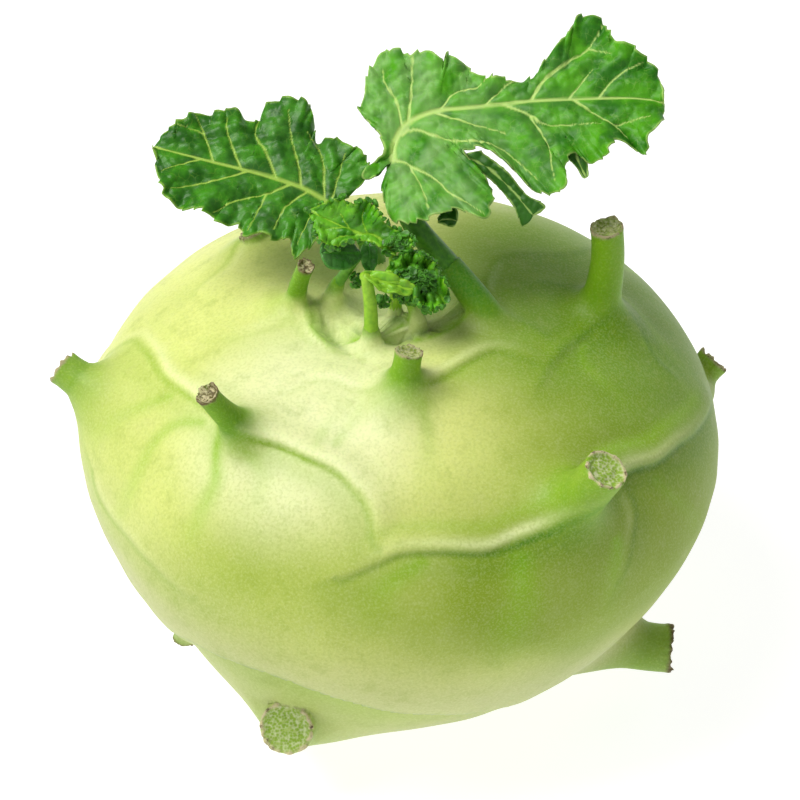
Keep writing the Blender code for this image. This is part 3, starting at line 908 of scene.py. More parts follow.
STREAKS: tuple[Streak, ...] = (
    Streak(((-65, 31), (-69, 25), (-72, 19), (-73, 14)), 0.5),
    Streak(((-51, 32), (-58, 28), (-60, 23), (-59, 17), (-59, 11), (-60, 6)), 0.65),
    Streak(((-44, 33), (-44, 29), (-41, 24), (-41, 19), (-41, 14)), 1.0),
    Streak(((-41, 33), (-36, 31), (-32, 29), (-30, 24)), 0.6),
    Streak(((-18, 37), (-14, 44), (-10, 48)), 0.35),
    Streak(((-22, 36), (-21, 42), (-18, 46)), 0.3),
    Streak(((6, 49), (7, 40), (6, 32)), 0.45),
    Streak(((15, 53), (21, 54), (27, 54), (31, 52), (33, 49)), 0.4),
    Streak(((22, 19), (21, 14), (21, 9), (19, 5), (18, 0)), 1.0, 2.2),
    Streak(((5, 19), (-2, 15), (-5, 10)), 0.8, 1.6),
    Streak(((40, 15), (40, 12), (39, 8), (38, 2)), 1.0, 1.5),
    Streak(((55, 18), (58, 12), (62, 6), (65, 0)), 0.5),
    Streak(((73, 43), (67, 42), (64, 40), (63, 36), (63, 31)), 0.8, 0.8),
    Streak(((104, 36), (97, 33), (92, 29), (88, 25), (87, 20)), 0.6),
    Streak(((-94, 19), (-91, 14), (-83, 11), (-76, 5)), 0.4, 0.6),
    Streak(((84, 33), (83, 24), (80, 15)), 0.5),
    Streak(((118, 28), (120, 18), (118, 8)), 0.7),
    Streak(((150, 36), (152, 24), (150, 12)), 0.7),
    Streak(((-148, 30), (-150, 18), (-148, 6)), 0.7),
)
CROWN_RIMS: tuple[tuple[Pair, ...], ...] = (
    ((-3.4, -11.7), (-0.5, -11.9), (2.6, -11.4), (5.6, -10.1), (8.0, -7.8), (9.3, -5.6), (9.0, -3.2)),
    ((-2.6, -10.6), (-0.5, -9.4), (1.1, -7.9), (1.6, -5.9), (0.4, -4.7)),
    ((-12.8, -4.3), (-12.3, -8.0), (-10.8, -10.8), (-9.0, -13.2)),
    ((-8.2, -10.3), (-6.2, -10.9), (-4.8, -11.4)),
)
STUBS: tuple[Stub, ...] = (
    Stub(-1, 48, (0.9, -20.5, 32.2), 1.8, 3.2, 5.0, CutLook.MIXED, 1.0),
    Stub(-80, 58, (-12.9, -5.0, 34.6), 1.15, 1.9, 3.6, CutLook.DRY, 1.0),
    Stub(-42, 33, (-25.2, -27.0, 30.4), 1.5, 2.7, 4.5, CutLook.DRY, 1.0),
    Stub(89, 38, (27.5, -1.0, 38.1), 2.2, 3.1, 5.5, CutLook.MIXED, 0.85),
    Stub(33, 20, (26.1, -36.0, 25.2), 2.9, 4.6, 8.5, CutLook.FRESH, 0.62),
    Stub(-81, 16, (-47.0, -2.5, 15.4), 2.5, 4.6, 9.0, CutLook.MIXED, 0.7),
    Stub(108, -3, (45.6, 16.0, 2.1), 2.4, 3.6, 6.0, CutLook.MIXED, 0.6),
    Stub(-26, -38, (-15.9, -37.3, -20.3), 3.8, 6.5, 10.0, CutLook.FRESH, 0.3),
    Stub(63, -41, (38.6, -14.0, -27.4), 3.5, 4.2, 6.0, CutLook.DRY, 0.6),
    Stub(-63, -30, (-31.5, -14.5, -24.7), 1.5, 2.4, 4.0, CutLook.DRY, 0.6),
    Stub(-124, 45, (-20.8, 14.0, 26.7), 2.2, 3.2, 5.0, CutLook.MIXED, 0.9),
    Stub(170, -8, (9.0, 48.0, 1.5), 2.4, 3.6, 6.0, CutLook.FRESH, 0.6),
)
ROOTS: tuple[tuple[tuple[Point, ...], tuple[float, ...]], ...] = (
    (
        ((12.6, -7.6, 22.0), (11.2, -6.4, 27.5), (8.6, -4.4, 31.0), (6.3, -2.9, 33.3)),
        (3.8, 2.5, 1.95, 1.85),
    ),
    (
        ((-4.0, -12.0, 22.0), (-4.1, -12.0, 27.6), (-4.15, -11.9, 29.6), (-4.2, -11.9, 31.2)),
        (2.6, 1.5, 1.05, 0.4),
    ),
    (((-1.2, -6.5, 22.0), (-0.9, -6.6, 28.0), (-1.2, -6.9, 31.0)), (2.2, 1.1, 0.4)),
    (
        ((-9.8, -2.5, 22.0), (-9.4, -2.7, 27.5), (-8.6, -3.2, 30.8), (-7.8, -3.8, 32.5)),
        (2.6, 1.5, 0.9, 0.4),
    ),
    (((-3.0, 4.0, 22.0), (-3.8, 4.0, 28.0), (-4.8, 3.9, 32.0)), (3.2, 2.0, 0.8)),
    (((2.4, -9.0, 22.0), (2.2, -8.6, 27.5), (1.6, -8.0, 30.2), (0.2, -7.4, 31.6)), (2.2, 1.3, 0.9, 0.5)),
)
ROOT_GREEN = (0.95, 0.7, 0.5, 0.8, 0.9, 0.35)


@dataclass
class Bulb:
    """The swollen stem with its ridges, crown and cut stalks, as one skin."""

    ridge_height: float = 1.25
    upper_width: float = 2.2
    lower_width: float = 1.0
    ridge_fade: float = 0.92
    groove_depth: float = 0.35
    groove_drop: float = 2.1
    skirt_depth: float = 2.6
    skirt_width: float = 9.0
    skirt_edge: float = 1.0
    swell_height: float = 0.5
    swell_count: int = 3
    swell_phase: float = 0.6
    apex: Pair = (-2.3, -4.1)
    dimple_depth: float = 2.4
    dimple_radius: float = 8.5
    rim_depth: float = 2.5
    rim_width: float = 0.8
    rim_reach: float = 4.4
    flare_share: float = 0.55
    fillet: float = 4.2
    root_fillet: float = 2.2
    cut_round: float = 0.35
    voxel: float = 0.6
    segments: int = 256
    rings: int = 140
    path_steps: int = 32
    stub_steps: int = 16
    flat_fade: float = 3.0
    masks: dict[str, Array] = field(default_factory=dict)

    def path(self, corners: Sequence[Pair]) -> Array:
        """Return close points on the plain surface along longitudes and latitudes."""
        angles = smooth_path(corners, self.path_steps)
        return plain_surface(np.array([direction(*pair) for pair in angles]))

    def beside(self, points: Array, ways: Array, path: Array, reach: float = 9.0) -> tuple[Array, Array]:
        """Return each point's distance above a path, negative below it, and its share of the way along it.

        Args:
            points: Points of the plain surface.
            ways: Unit directions from the bulb's centre.
            path: Points of the path.
            reach: How far from the path they still count.

        Returns:
            The distances and the shares.
        """
        gap, share, foot = nearest_on(points, path, reach)
        course = unit(np.gradient(path, axis=0))
        rise = np.cross(course[np.round(share * (len(path) - 1)).astype(int)], ways)
        if rise[gap.argmin(), 2] < 0:
            rise = -rise
        side = np.where(((points - foot) * rise).sum(axis=1) >= 0, 1.0, -1.0)
        return side * gap, share

    def ridges(self, points: Array, ways: Array) -> Array:
        """Return the ridges' lift, and keep their crests, grooves and upper lines as masks.

        Args:
            points: Points of the plain surface.
            ways: Unit directions from the bulb's centre.

        Returns:
            The lift of each.
        """
        lift = np.zeros(len(points))
        dip = np.zeros(len(points))
        crest, groove, line = (np.zeros(len(points)) for _ in range(3))
        for ridge in RIDGES:
            above, share = self.beside(points, ways, self.path(ridge.corners))
            fade = np.sqrt(1.0 - self.ridge_fade * share) * ridge.strength**0.7
            climb = 1 + ridge.climb * bell(share, 0.16)
            width = np.where(above > 0, self.upper_width, self.lower_width)
            width = width * (0.65 + 0.35 * ridge.strength) * climb**0.4
            lift = np.maximum(lift, self.ridge_height * fade * climb * bell(above, width))
            below = bell(above + self.groove_drop, 1.1) * fade
            dip = np.maximum(dip, self.groove_depth * below)
            ends = fade * ramp(share, 1.02, 0.75)
            begun = ramp(share, -0.02, 0.07)
            # The crest sits a little above the ridge line: pale colour, partly a painted highlight on the
            # upper side.
            crest = np.maximum(crest, bell(above - 0.4, 0.7) * ramp(share, 1.05, 0.3) * begun * ridge.crest)
            drop = 1.2 * min(1.0, 5.0 * ridge.crest)
            wash = 0.45 * bell(above + drop + 1.4, 2.4) * (above < -drop)
            beneath = np.maximum(bell(above + drop, 0.75), wash)
            groove = np.maximum(groove, beneath * ridge.green * (1.0 - self.ridge_fade * share) ** 0.3)
            line = np.maximum(line, bell(above - 2.5, 0.9) * ends * ridge.upper_line)
        self.masks.update(crest=crest, groove=groove, line=line)
        return lift - dip

    def skirt(self, points: Array, ways: Array) -> Array:
        """Return the step under the crease, where the lowest leaf base lies inside the bulb's swelling.

        Args:
            points: Points of the plain surface.
            ways: Unit directions from the bulb's centre.

        Returns:
            The lift of each.
        """
        above, share = self.beside(points, ways, self.path(CREASE), 30.0)
        ends = np.sin(pi * np.clip(share, 0.03, 0.97)) ** 0.5
        swelling = 0.5 * self.skirt_depth * bell(np.maximum(above, 0.0), self.skirt_width)
        fall = ramp(-above, self.skirt_edge - 0.4, self.skirt_edge + 0.4)
        step = -self.skirt_depth * bell(above, self.skirt_width)
        # Painted shade along the crease, just below its edge.
        self.masks["crease"] = bell(above + self.skirt_edge + 0.25, 0.75) * ends
        self.masks["skirt"] = fall * bell(above, 12.0) * ends
        return ends * (swelling * (1 - fall) + step * fall)

    def stub_flare(self, points: Array) -> Array:
        """Return the flare where each cut stalk leaves the bulb.

        Args:
            points: Points of the plain surface.

        Returns:
            The lift of each.
        """
        lift = np.zeros(len(points))
        for stub in STUBS:
            gap = np.linalg.norm(points - plain_surface(stub.way()[None, :])[0], axis=1)
            lift = np.maximum(lift, self.flare_share * stub.base_radius * bell(gap, stub.flare))
        return lift

    def crown(self, points: Array) -> Array:
        """Return the hollow at the crown and the stepped rims of its leaf bases.

        Args:
            points: Points of the plain surface.

        Returns:
            The lift of each.
        """
        apex = plain_surface(crown_way(*self.apex)[None, :])[0]
        from_apex = np.linalg.norm(points - apex, axis=1)
        lift = -self.dimple_depth * bell(from_apex, self.dimple_radius)
        rim_line, hollow = np.zeros(len(points)), np.zeros(len(points))
        for corners in CROWN_RIMS:
            flat = smooth_path(corners, self.path_steps)
            path = plain_surface(np.array([crown_way(*pair) for pair in flat]))
            gap, share, foot = nearest_on(points, path, 8.0)
            side = np.where(((points - foot) * (apex - foot)).sum(axis=1) >= 0, 1.0, -1.0)
            inner = side * gap
            ends = np.sin(pi * np.clip(share, 0.04, 0.96)) ** 0.4
            drop = self.rim_depth * ramp(inner, 0.0, self.rim_width) * bell(inner, self.rim_reach) * ends
            bead = 0.3 * bell(inner + 0.1, 0.5) * ends
            lift = lift - drop + bead
            rim_line = np.maximum(rim_line, bell(inner, 0.45) * ends)
            # Painted shade just inside each rim of the crown.
            hollow = np.maximum(hollow, bell(inner - 1.0, 0.75) * ends)
        self.masks.update(floor=bell(from_apex, 10.0), rim_line=rim_line, hollow=hollow)
        return lift

    def surface_radius(self, points: Array) -> tuple[Array, Array]:
        """Return the full surface's distance from the centre towards points, and the points' own.

        Args:
            points: Points near it.

        Returns:
            Both distances.
        """
        open_points = unrounded(points)
        own = np.linalg.norm(open_points, axis=1)
        ways = open_points / own[:, None]
        plain = plain_surface(ways)
        lift = np.maximum(self.ridges(plain, ways), self.stub_flare(plain))
        turn = np.arctan2(ways[:, 0], -ways[:, 1])
        swell = self.swell_height * ways[:, 2] * np.sin(self.swell_count * turn + self.swell_phase)
        lift = lift + self.skirt(plain, ways) + self.crown(plain) + swell * (1 - ways[:, 2] ** 2)
        lift = lift + 0.06 * wobble(plain, 9.0, 5)
        fade = np.clip((plain[:, 2] + WIDEST_HEIGHT) / self.flat_fade, 0.0, 1.0)
        return bulb_radius(ways) + lift * fade, own

    def gaps(self, points: Array) -> tuple[Array, Array]:
        """Return each point's distance outside the skin and the direction in which it grows.

        Args:
            points: Points near it.

        Returns:
            Both.
        """
        radius, own = self.surface_radius(points)
        gap = own - radius
        slope = unit(points)
        root = -(points[:, 2] + WIDEST_HEIGHT)
        flat = root > gap
        gap = np.where(flat, root, gap)
        slope = np.where(flat[:, None], np.array([0.0, 0.0, -1.0]), slope)
        self.masks["cut_gap"] = np.full(len(points), FAR)
        self.masks["rho"] = np.zeros(len(points))
        self.masks["owner"] = np.full(len(points), -1)
        self.masks["stub_share"] = np.zeros(len(points))
        self.masks["root_share"] = np.zeros(len(points))
        for number, stub in enumerate(STUBS):
            line, radii = stub.line(self.stub_steps, 4.0)
            dense = along_line(np.column_stack([line, radii]), np.linspace(0, 1, 120))
            near = np.linalg.norm(points - np.array(stub.tip), axis=1) < 26.0
            if not near.any():
                continue
            part = points[near]
            far, share, foot = nearest_on(part, dense[:, :3], 14.0)
            tube = far - np.interp(share, np.linspace(0, 1, len(dense)), dense[:, 3])
            away = unit(part - foot)
            axis = unit(line[-1] - line[-2])
            past = (part - np.array(stub.tip)) @ axis
            high, weight = blend_low(-tube, -past, self.cut_round)
            end_gap = -high
            end_slope = away * weight[:, None] + axis * (1 - weight)[:, None]
            fillet = min(self.fillet, 1.3 * stub.base_radius)
            both, weight = blend_low(end_gap, gap[near], 0.3 + (fillet - 0.3) * ramp(-past, 0.3, 4.0))
            slope[near] = end_slope * weight[:, None] + slope[near] * (1 - weight)[:, None]
            gap[near] = both
            chosen = np.where(near)[0][weight > 0.5]
            self.masks["owner"][chosen] = number
            self.masks["cut_gap"][chosen] = past[weight > 0.5]
            self.masks["rho"][chosen] = far[weight > 0.5]
            green = np.maximum(self.masks["stub_share"][near], weight * stub.green)
            self.masks["stub_share"][near] = green
        for number, (corners, sizes) in enumerate(ROOTS):
            dense = smooth_path(np.column_stack([corners, sizes]), 24)
            near = np.all((points > dense[:, :3].min(0) - 9) & (points < dense[:, :3].max(0) + 9), axis=1)
            far, share, foot = nearest_on(points[near], dense[:, :3], 12.0)
            tube = far - np.interp(share, np.linspace(0, 1, len(dense)), dense[:, 3])
            away = unit(points[near] - foot)
            both, weight = blend_low(tube, gap[near], self.root_fillet)
            slope[near] = away * weight[:, None] + slope[near] * (1 - weight)[:, None]
            gap[near] = both
            green = np.maximum(self.masks["root_share"][near], weight * ROOT_GREEN[number])
            self.masks["root_share"][near] = green
        return gap, slope

    def settle(self, item: bpy.types.Object, rounds: int) -> None:
        """Move an object's vertices onto the skin.

        Args:
            item: The bulb's object.
            rounds: How many steps they take.
        """
        points = places_of(item)
        for _ in range(rounds):
            gap, slope = self.gaps(points)
            size = np.maximum((slope**2).sum(axis=1), 0.25)
            points -= np.clip(gap / size, -0.7, 0.7)[:, None] * slope
        set_places(item, points)

    def blank(self) -> bpy.types.Object:
        """Return the even voxel mesh of the bulb and its stalks before it settles.

        Returns:
            The new object.
        """
        work = bmesh.new()
        bmesh.ops.create_uvsphere(work, u_segments=self.segments, v_segments=self.rings, radius=1.0)
        ways = np.array([vertex.co for vertex in work.verts])
        faces = [[vertex.index for vertex in face.verts] for face in work.faces]
        work.free()
        skin = mesh_object("bulb_blank", plain_surface(ways), faces)
        parts = [skin]
        for number, stub in enumerate(STUBS):
            line, radii = stub.line(self.stub_steps)
            points, faces = swept(line, radii, 20)
            parts.append(mesh_object(f"stub_blank_{number}", points, faces))
        for number, (corners, sizes) in enumerate(ROOTS):
            course = smooth_path(np.column_stack([corners, sizes]), 16)
            points, faces = swept(course[:, :3], course[:, 3], 16)
            parts.append(mesh_object(f"root_blank_{number}", points, faces))
        skin = joined(parts, "bulb_body")
        modifier = skin.modifiers.new("even", "REMESH")
        modifier.mode = "VOXEL"
        modifier.voxel_size = self.voxel * MM
        return baked(skin)

    def refine_cuts(self, item: bpy.types.Object) -> None:
        """Split the faces of each cut end, so that its rim and pores have faces of their own.

        Args:
            item: The bulb's object.
        """
        self.gaps(places_of(item))
        owner, past = self.masks["owner"], self.masks["cut_gap"]
        wanted = (owner >= 0) & (past > -1.1)
        work = bmesh.new()
        work.from_mesh(item.data)
        work.verts.ensure_lookup_table()
        edges = [edge for edge in work.edges if wanted[edge.verts[0].index] and wanted[edge.verts[1].index]]
        bmesh.ops.subdivide_edges(work, edges=edges, cuts=2, use_grid_fill=True)
        bmesh.ops.triangulate(work, faces=[face for face in work.faces if len(face.verts) > 4])
        work.to_mesh(item.data)
        work.free()

    def carve_cuts(self, item: bpy.types.Object) -> None:
        """Raise the corky rims, sink the pith and roughen both.

        Args:
            item: The bulb's object.
        """
        points = places_of(item)
        self.gaps(points)
        owner, past, rho = (self.masks[name].copy() for name in ("owner", "cut_gap", "rho"))
        cut = np.zeros(len(points))
        rim = np.zeros(len(points))
        fresh = np.zeros(len(points))
        for number, stub in enumerate(STUBS):
            line, _ = stub.line(self.stub_steps)
            axis = unit(line[-1] - line[-2])
            mine = owner == number
            share = rho[mine] / stub.cut_radius
            top = ramp(past[mine], -0.9, -0.1)
            ragged = wobble(points[mine], 1.6, 40 + number) * 0.5
            ragged += wobble(points[mine], 0.7, 60 + number) * 0.3
            edge = bell(share - 0.92, 0.16)
            dryness = 1.0 - stub.look.value
            height = edge * (0.22 + 0.28 * ragged) * (1 + 0.9 * dryness)
            height -= (1 - ramp(share, 0.6, 0.95)) * (0.28 + 0.12 * ragged)
            out = unit(points[mine] - np.array(stub.tip) - np.outer(past[mine], axis))
            spread = edge * top * (0.12 + 0.16 * ragged) * (0.4 + dryness)
            points[mine] += axis * (height * top)[:, None] + out * spread[:, None]
            cut[mine] = ramp(past[mine] + 0.25 * ragged, -0.5 * (0.4 + dryness), -0.1)
            rim[mine] = ramp(share + 0.1 * ragged, 0.8, 0.93)
            fresh[mine] = stub.look.value
        set_places(item, points)
        self.masks.update(cut=cut, rim=rim, fresh=fresh)

    def paint_masks(self, item: bpy.types.Object) -> None:
        """Write the attributes that the skin's finish reads.

        Args:
            item: The bulb's object.
        """
        points = places_of(item)
        kept = {name: self.masks[name].copy() for name in ("cut", "rim", "fresh")}
        self.gaps(points)
        mask = self.masks
        open_points = unrounded(points)
        ways = unit(open_points)
        plain = plain_surface(ways)
        height = np.linalg.norm(open_points, axis=1) - bulb_radius(ways)
        streak = np.zeros(len(points))
        for mark in STREAKS:
            path = self.path(mark.corners)
            gap, share, _ = nearest_on(plain, path, 6.0)
            wide = bell(gap, mark.width * (0.6 + share)) * (1 - share * 0.8)
            streak = np.maximum(streak, wide * mark.strength * ramp(share, 0.0, 0.06))
        stalk = ramp(height, 0.3, 3.6) * mask["stub_share"]
        stalk = np.maximum(stalk, ramp(height, 0.2, 2.4) * mask["root_share"])
        petiole = ramp(height, 0.8, 4.0) * ramp(points[:, 0], 1.0, 5.0)
        write_mask(item, "root", petiole * mask["root_share"])
        near_stub = np.zeros(len(points))
        for stub in STUBS:
            gap = np.linalg.norm(plain - plain_surface(stub.way()[None, :])[0], axis=1)
            near_stub = np.maximum(near_stub, bell(gap, stub.flare * 0.8))
        side = ramp(ways[:, 0], -0.05, 0.75)
        belt = bell(ways[:, 2] - 0.19, 0.26) * ramp(ways[:, 0], -1.0, -0.4)
        patches = 0.1 * wobble(plain, 22.0, 8)
        write_mask(item, "ripe", np.clip(0.75 * side + 0.8 * belt + patches, 0, 1))
        # The mask named bloom is painted shade: greyer and darker towards the bottom, reaching higher on the
        # left.
        write_mask(item, "bloom", ramp(ways[:, 2] + 0.22 * ways[:, 0], 0.08, -0.25))
        write_mask(item, "hollow", mask["hollow"])
        # Painted shadow of the right leaf: darker green round 100 degrees right and 44 degrees up.
        write_mask(item, "green", ramp(ways @ direction(100, 44), 0.6, 0.96))
        # Painted highlight on the upper front, round 30 degrees left and 44 degrees up.
        write_mask(item, "painted_highlight", ramp(ways @ direction(-30, 44), 0.84, 0.99))
        write_mask(item, "crease", mask["crease"])
        write_mask(item, "base", mask["skirt"])
        write_mask(item, "crown", mask["floor"])
        write_mask(item, "streak", np.clip(streak + 0.8 * mask["line"] + mask["rim_line"], 0, 1))
        write_mask(item, "groove", np.clip(mask["groove"] + 0.35 * near_stub * (1 - stalk), 0, 1))
        write_mask(item, "crest", mask["crest"] * (1 - stalk))
        write_mask(item, "stalk", np.clip(stalk * 1.15, 0, 1))
        shade = 0.5 - 0.5 * ways[:, 0] + 0.3 * wobble(points, 4.0, 3)
        write_mask(item, "shade", np.clip(shade, 0, 1) * 0.5)
        for name, values in kept.items():
            write_mask(item, name, values)

    def build(self) -> bpy.types.Object:
        """Make and dress the bulb.

        Returns:
            Its object.
        """
        item = self.blank()
        self.settle(item, 4)
        self.refine_cuts(item)
        self.settle(item, 2)
        self.carve_cuts(item)
        self.paint_masks(item)
        item.data.shade_smooth()
        item.data.materials.clear()
        item.data.materials.append(SkinFinish().material())
        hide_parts("bulb")
        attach(item, BODY)
        return item


# Leaves


@dataclass(frozen=True)
class Vein:
    """A vein of a blade as places along and across it, with its width at both ends."""

    places: tuple[Pair, ...]
    start: float = 0.34
    end: float = 0.1


@dataclass
class Blade:
    """A leaf blade: its frame, its outline as ribs from the midrib to the margin, and its veins."""

    name: str
    origin: Point
    along: Point
    facing: Point
    midrib: tuple[Pair, ...]
    left_ribs: tuple[Point, ...]
    right_ribs: tuple[Point, ...]
    fold: float
    ruffle: float
    waves: float
    arch: float
    veins: tuple[Vein, ...] = ()
    midrib_width: Pair = (1.0, 0.25)
    tooth: float = 0.55
    tooth_gap: float = 2.3
    frill: float = 0.35
    frill_gap: float = 3.1
    pucker: float = 0.5
    crinkle: float = 0.0
    pale: float = 0.0
    knob: float = 0.0
    knob_gap: float = 0.9
    thickness: float = 0.45
    rows: int = 300
    columns: int = 42
    seed: int = 1

    def axes(self) -> tuple[Array, Array, Array]:
        """Return the blade's axes: along, across to its left, and out of its face.

        Returns:
            Three unit directions.
        """
        along = unit(self.along)
        facing = np.array(self.facing) - along * np.dot(self.facing, along)
        facing = unit(facing)
        return along, np.cross(facing, along), facing

    def margin(self, ribs: Sequence[Point], stations: Array) -> Array:
        """Return where the margin is for stations on the midrib.

        Args:
            ribs: Stations with their places on the margin.
            stations: Shares of the midrib.

        Returns:
            A place for each station.
        """
        dense = smooth_path(ribs, 24 * len(ribs))
        order = np.maximum.accumulate(dense[:, 0] + np.arange(len(dense)) * 1e-9)
        return np.column_stack([np.interp(stations, order, dense[:, axis]) for axis in (1, 2)])

    def stations(self) -> Array:
        """Return stations spaced so that both margins and the midrib get even steps.

        Returns:
            Shares of the midrib.
        """
        trial = np.linspace(0.0, 1.0, 6000) ** 1.6
        lines = [self.margin(ribs, trial) for ribs in (self.left_ribs, self.right_ribs)]
        steps = [np.linalg.norm(np.diff(line, axis=0), axis=1) for line in lines]
        run = np.concatenate([[0.0], np.cumsum(np.maximum(*steps) + 1e-4)])
        return np.interp(np.linspace(0, run[-1], self.rows), run, trial)

    def serrated(self, margin: Array, centre: Array, side: float) -> Array:
        """Push a margin out and in along its ribs to make its small teeth.

        Args:
            margin: Places on the margin.
            centre: Places on the midrib.
            side: 1 on the left and -1 on the right.

        Returns:
            The new places.
        """
        run = running_length(margin)
        phase = run / self.tooth_gap + 0.35 * np.sin(run * 0.9 + side)
        phase += 0.3 * np.sin(run * 0.37 + self.seed)
        saw = (phase % 1.0) ** 1.6
        outwards = unit(margin - centre)
        size = self.tooth * ramp(np.linalg.norm(margin - centre, axis=1), 0.5, 3.0)
        return margin + outwards * (size * (saw - 0.6))[:, None]

    def sheet(self) -> dict[str, Array]:
        """Return the blade's middle sheet as grids.

        Returns:
            Points, places in its plane, shares to the margin and other values, by name.
        """
        stations = self.stations()
        centre = along_line(smooth_path(self.midrib, 200), stations)
        grids = {name: [] for name in ("flat", "share", "station", "side", "reach", "run")}
        for side, ribs in ((-1.0, self.right_ribs), (1.0, self.left_ribs)):
            margin = self.serrated(self.margin(ribs, stations), centre, side)
            run = running_length(margin)
            shares = np.linspace(0.0, 1.0, self.columns + 1)
            shares = shares[1:] if side > 0 else shares[::-1]
            for share in shares:
                grids["flat"].append(centre + (margin - centre) * share)
                grids["share"].append(np.full(self.rows, share))
                grids["station"].append(stations)
                grids["side"].append(np.full(self.rows, side if share > 0 else 0.0))
                grids["reach"].append(np.linalg.norm(margin - centre, axis=1))
                grids["run"].append(run)
        made = {name: np.stack(columns, axis=1) for name, columns in grids.items()}
        self.raise_sheet(made)
        return made

    def vein_lines(self) -> list[tuple[Array, float, float]]:
        """Return the midrib and the veins as close points with the width at both ends."""
        lines = [(smooth_path(self.midrib, 60), *self.midrib_width)]
        return lines + [(smooth_path(vein.places, 24), vein.start, vein.end) for vein in self.veins]

    def raise_sheet(self, made: dict[str, Array]) -> None:
        """Add the height over the plane, the veins' masks and the points in space.

        Args:
            made: The blade's sheet as grids.
        """
        share, station, reach, side = (made[name] for name in ("share", "station", "reach", "side"))
        flat = made["flat"].reshape(-1, 2)
        vein = np.zeros(len(flat))
        nearest = np.full(len(flat), FAR)
        for line, start, end in self.vein_lines():
            gap, course, _ = nearest_on(flat, line, 4.0)
            width = start + (end - start) * course
            vein = np.maximum(vein, ramp(gap, width * 0.85, width * 0.3))
            nearest = np.minimum(nearest, gap)
        shape = share.shape
        made["vein"] = vein.reshape(shape)
        made["near_vein"] = nearest.reshape(shape)
        wave = self.ruffle * share**2 * np.sin(2 * pi * self.waves * station + side)
        height = self.fold * reach * share + wave - self.arch * station**2
        height += self.pucker * (1 - bell(made["near_vein"], 1.1) - 0.6)
        small = wobble(flat, 2.4, self.seed + 10) * 0.12 + wobble(flat, 1.1, self.seed + 20) * 0.05
        height += small.reshape(shape) * ramp(share, 0.0, 0.3)
        crinkle = wobble(flat, 2.6, self.seed + 50) + 0.5 * wobble(flat, 1.3, self.seed + 60)
        height += self.crinkle * crinkle.reshape(shape) * ramp(share, 0.05, 0.5)
        room = ramp(reach, 0.8, 4.0)
        run = made["run"]
        turn = 2 * pi * run / self.frill_gap + 1.7 * side + np.sin(run * 0.5)
        height += self.frill * share**5 * np.sin(turn) * room
        plane = made["flat"]
        along, across, facing = self.axes()
        made["points"] = (
            np.array(self.origin)
            + plane[..., :1] * along
            + plane[..., 1:] * across
            + height[..., None] * facing
        )

    def at(self, made: dict[str, Array], places: Array, drop: float) -> Array:
        """Return the space points of places in the blade's plane, moved under its face by drop.

        Args:
            made: The blade's sheet as grids.
            places: Places in the plane.
            drop: How far they move.

        Returns:
            The points.
        """
        flat = made["flat"].reshape(-1, 2)
        points = made["points"].reshape(-1, 3)
        _, _, facing = self.axes()
        found = []
        for place in places:
            gaps = np.linalg.norm(flat - place, axis=1)
            best = np.argpartition(gaps, 4)[:4]
            weight = 1 / (gaps[best] + 0.02)
            found.append((points[best] * weight[:, None]).sum(axis=0) / weight.sum() - facing * drop)
        return np.array(found)

    def shell(self, made: dict[str, Array]) -> bpy.types.Object:
        """Return the closed thin solid of the blade with its attributes.

        Args:
            made: The blade's sheet as grids.

        Returns:
            The new object.
        """
        points = made["points"]
        rows, columns = points.shape[:2]
        lengthwise = np.gradient(points, axis=0)
        sideways = np.gradient(points, axis=1)
        normal = unit(np.cross(lengthwise, sideways).reshape(-1, 3)).reshape(points.shape)
        _, _, facing = self.axes()
        if (normal @ facing).mean() < 0:
            normal = -normal
        thick = self.thickness * (0.35 + 0.65 * (1 - made["share"] ** 10))
        thick = np.maximum(thick * ramp(made["reach"] + 0.3, 0.0, 1.5), 0.12)
        top = (points + normal * thick[..., None] / 2).reshape(-1, 3)
        bottom = (points - normal * thick[..., None] / 2).reshape(-1, 3)
        count = rows * columns
        number = np.arange(count).reshape(rows, columns)
        a, b = number[:-1, :-1].ravel(), number[:-1, 1:].ravel()
        c, d = number[1:, 1:].ravel(), number[1:, :-1].ravel()
        upper = np.column_stack([a, b, c, d])
        lower = np.column_stack([d, c, b, a]) + count
        border = np.concatenate([number[0, :-1], number[:-1, -1], number[-1, :0:-1], number[:0:-1, 0]])
        following = np.roll(border, -1)
        sides = np.column_stack([following, border, border + count, following + count])
        faces = np.vstack([upper, lower, sides]).tolist()
        item = mesh_object(self.name, np.vstack([top, bottom]), faces)
        recalculated(item)
        twice = {name: np.tile(made[name].ravel(), 2) for name in ("vein", "share", "reach", "near_vein")}
        under = np.concatenate([np.zeros(count), np.ones(count)])
        edge = ramp((1 - twice["share"]) * twice["reach"], 0.32, 0.05)
        flat = np.tile(made["flat"].reshape(-1, 2), (2, 1))
        write_places(item, "plan", np.column_stack([flat, under * 30.0]))
        write_mask(item, "vein", twice["vein"] * (1 - 0.3 * under))
        write_mask(item, "under", under)
        write_mask(item, "pale", np.full(len(under), self.pale))
        write_mask(item, "edge", edge)
        write_mask(item, "bloom", self.bloom(flat, twice) * (1 - under))
        return item

    def knobs(self, made: dict[str, Array]) -> tuple[Array, Array, Array]:
        """Return the places, aims and sizes of the curled teeth along the margin.

        Args:
            made: The blade's sheet as grids.

        Returns:
            The three arrays.
        """
        draw = np.random.default_rng(self.seed)
        places, aims = [], []
        for column, inner in ((0, 1), (-1, -2)):
            line, course = made["points"][:, column], made["points"][:, column] - made["points"][:, inner]
            length = np.linalg.norm(np.diff(line, axis=0), axis=1).sum()
            shares = np.linspace(0.04, 0.99, max(int(length / self.knob_gap), 3))
            shares = shares + draw.uniform(-0.3, 0.3, len(shares)) / len(shares)
            packed = along_line(np.column_stack([line, unit(course)]), shares)
            places.append(packed[:, :3])
            aims.append(unit(packed[:, 3:] + draw.normal(size=(len(shares), 3)) * 0.3))
        points = np.concatenate(places)
        return points, np.concatenate(aims), self.knob * draw.uniform(0.6, 1.25, len(points))

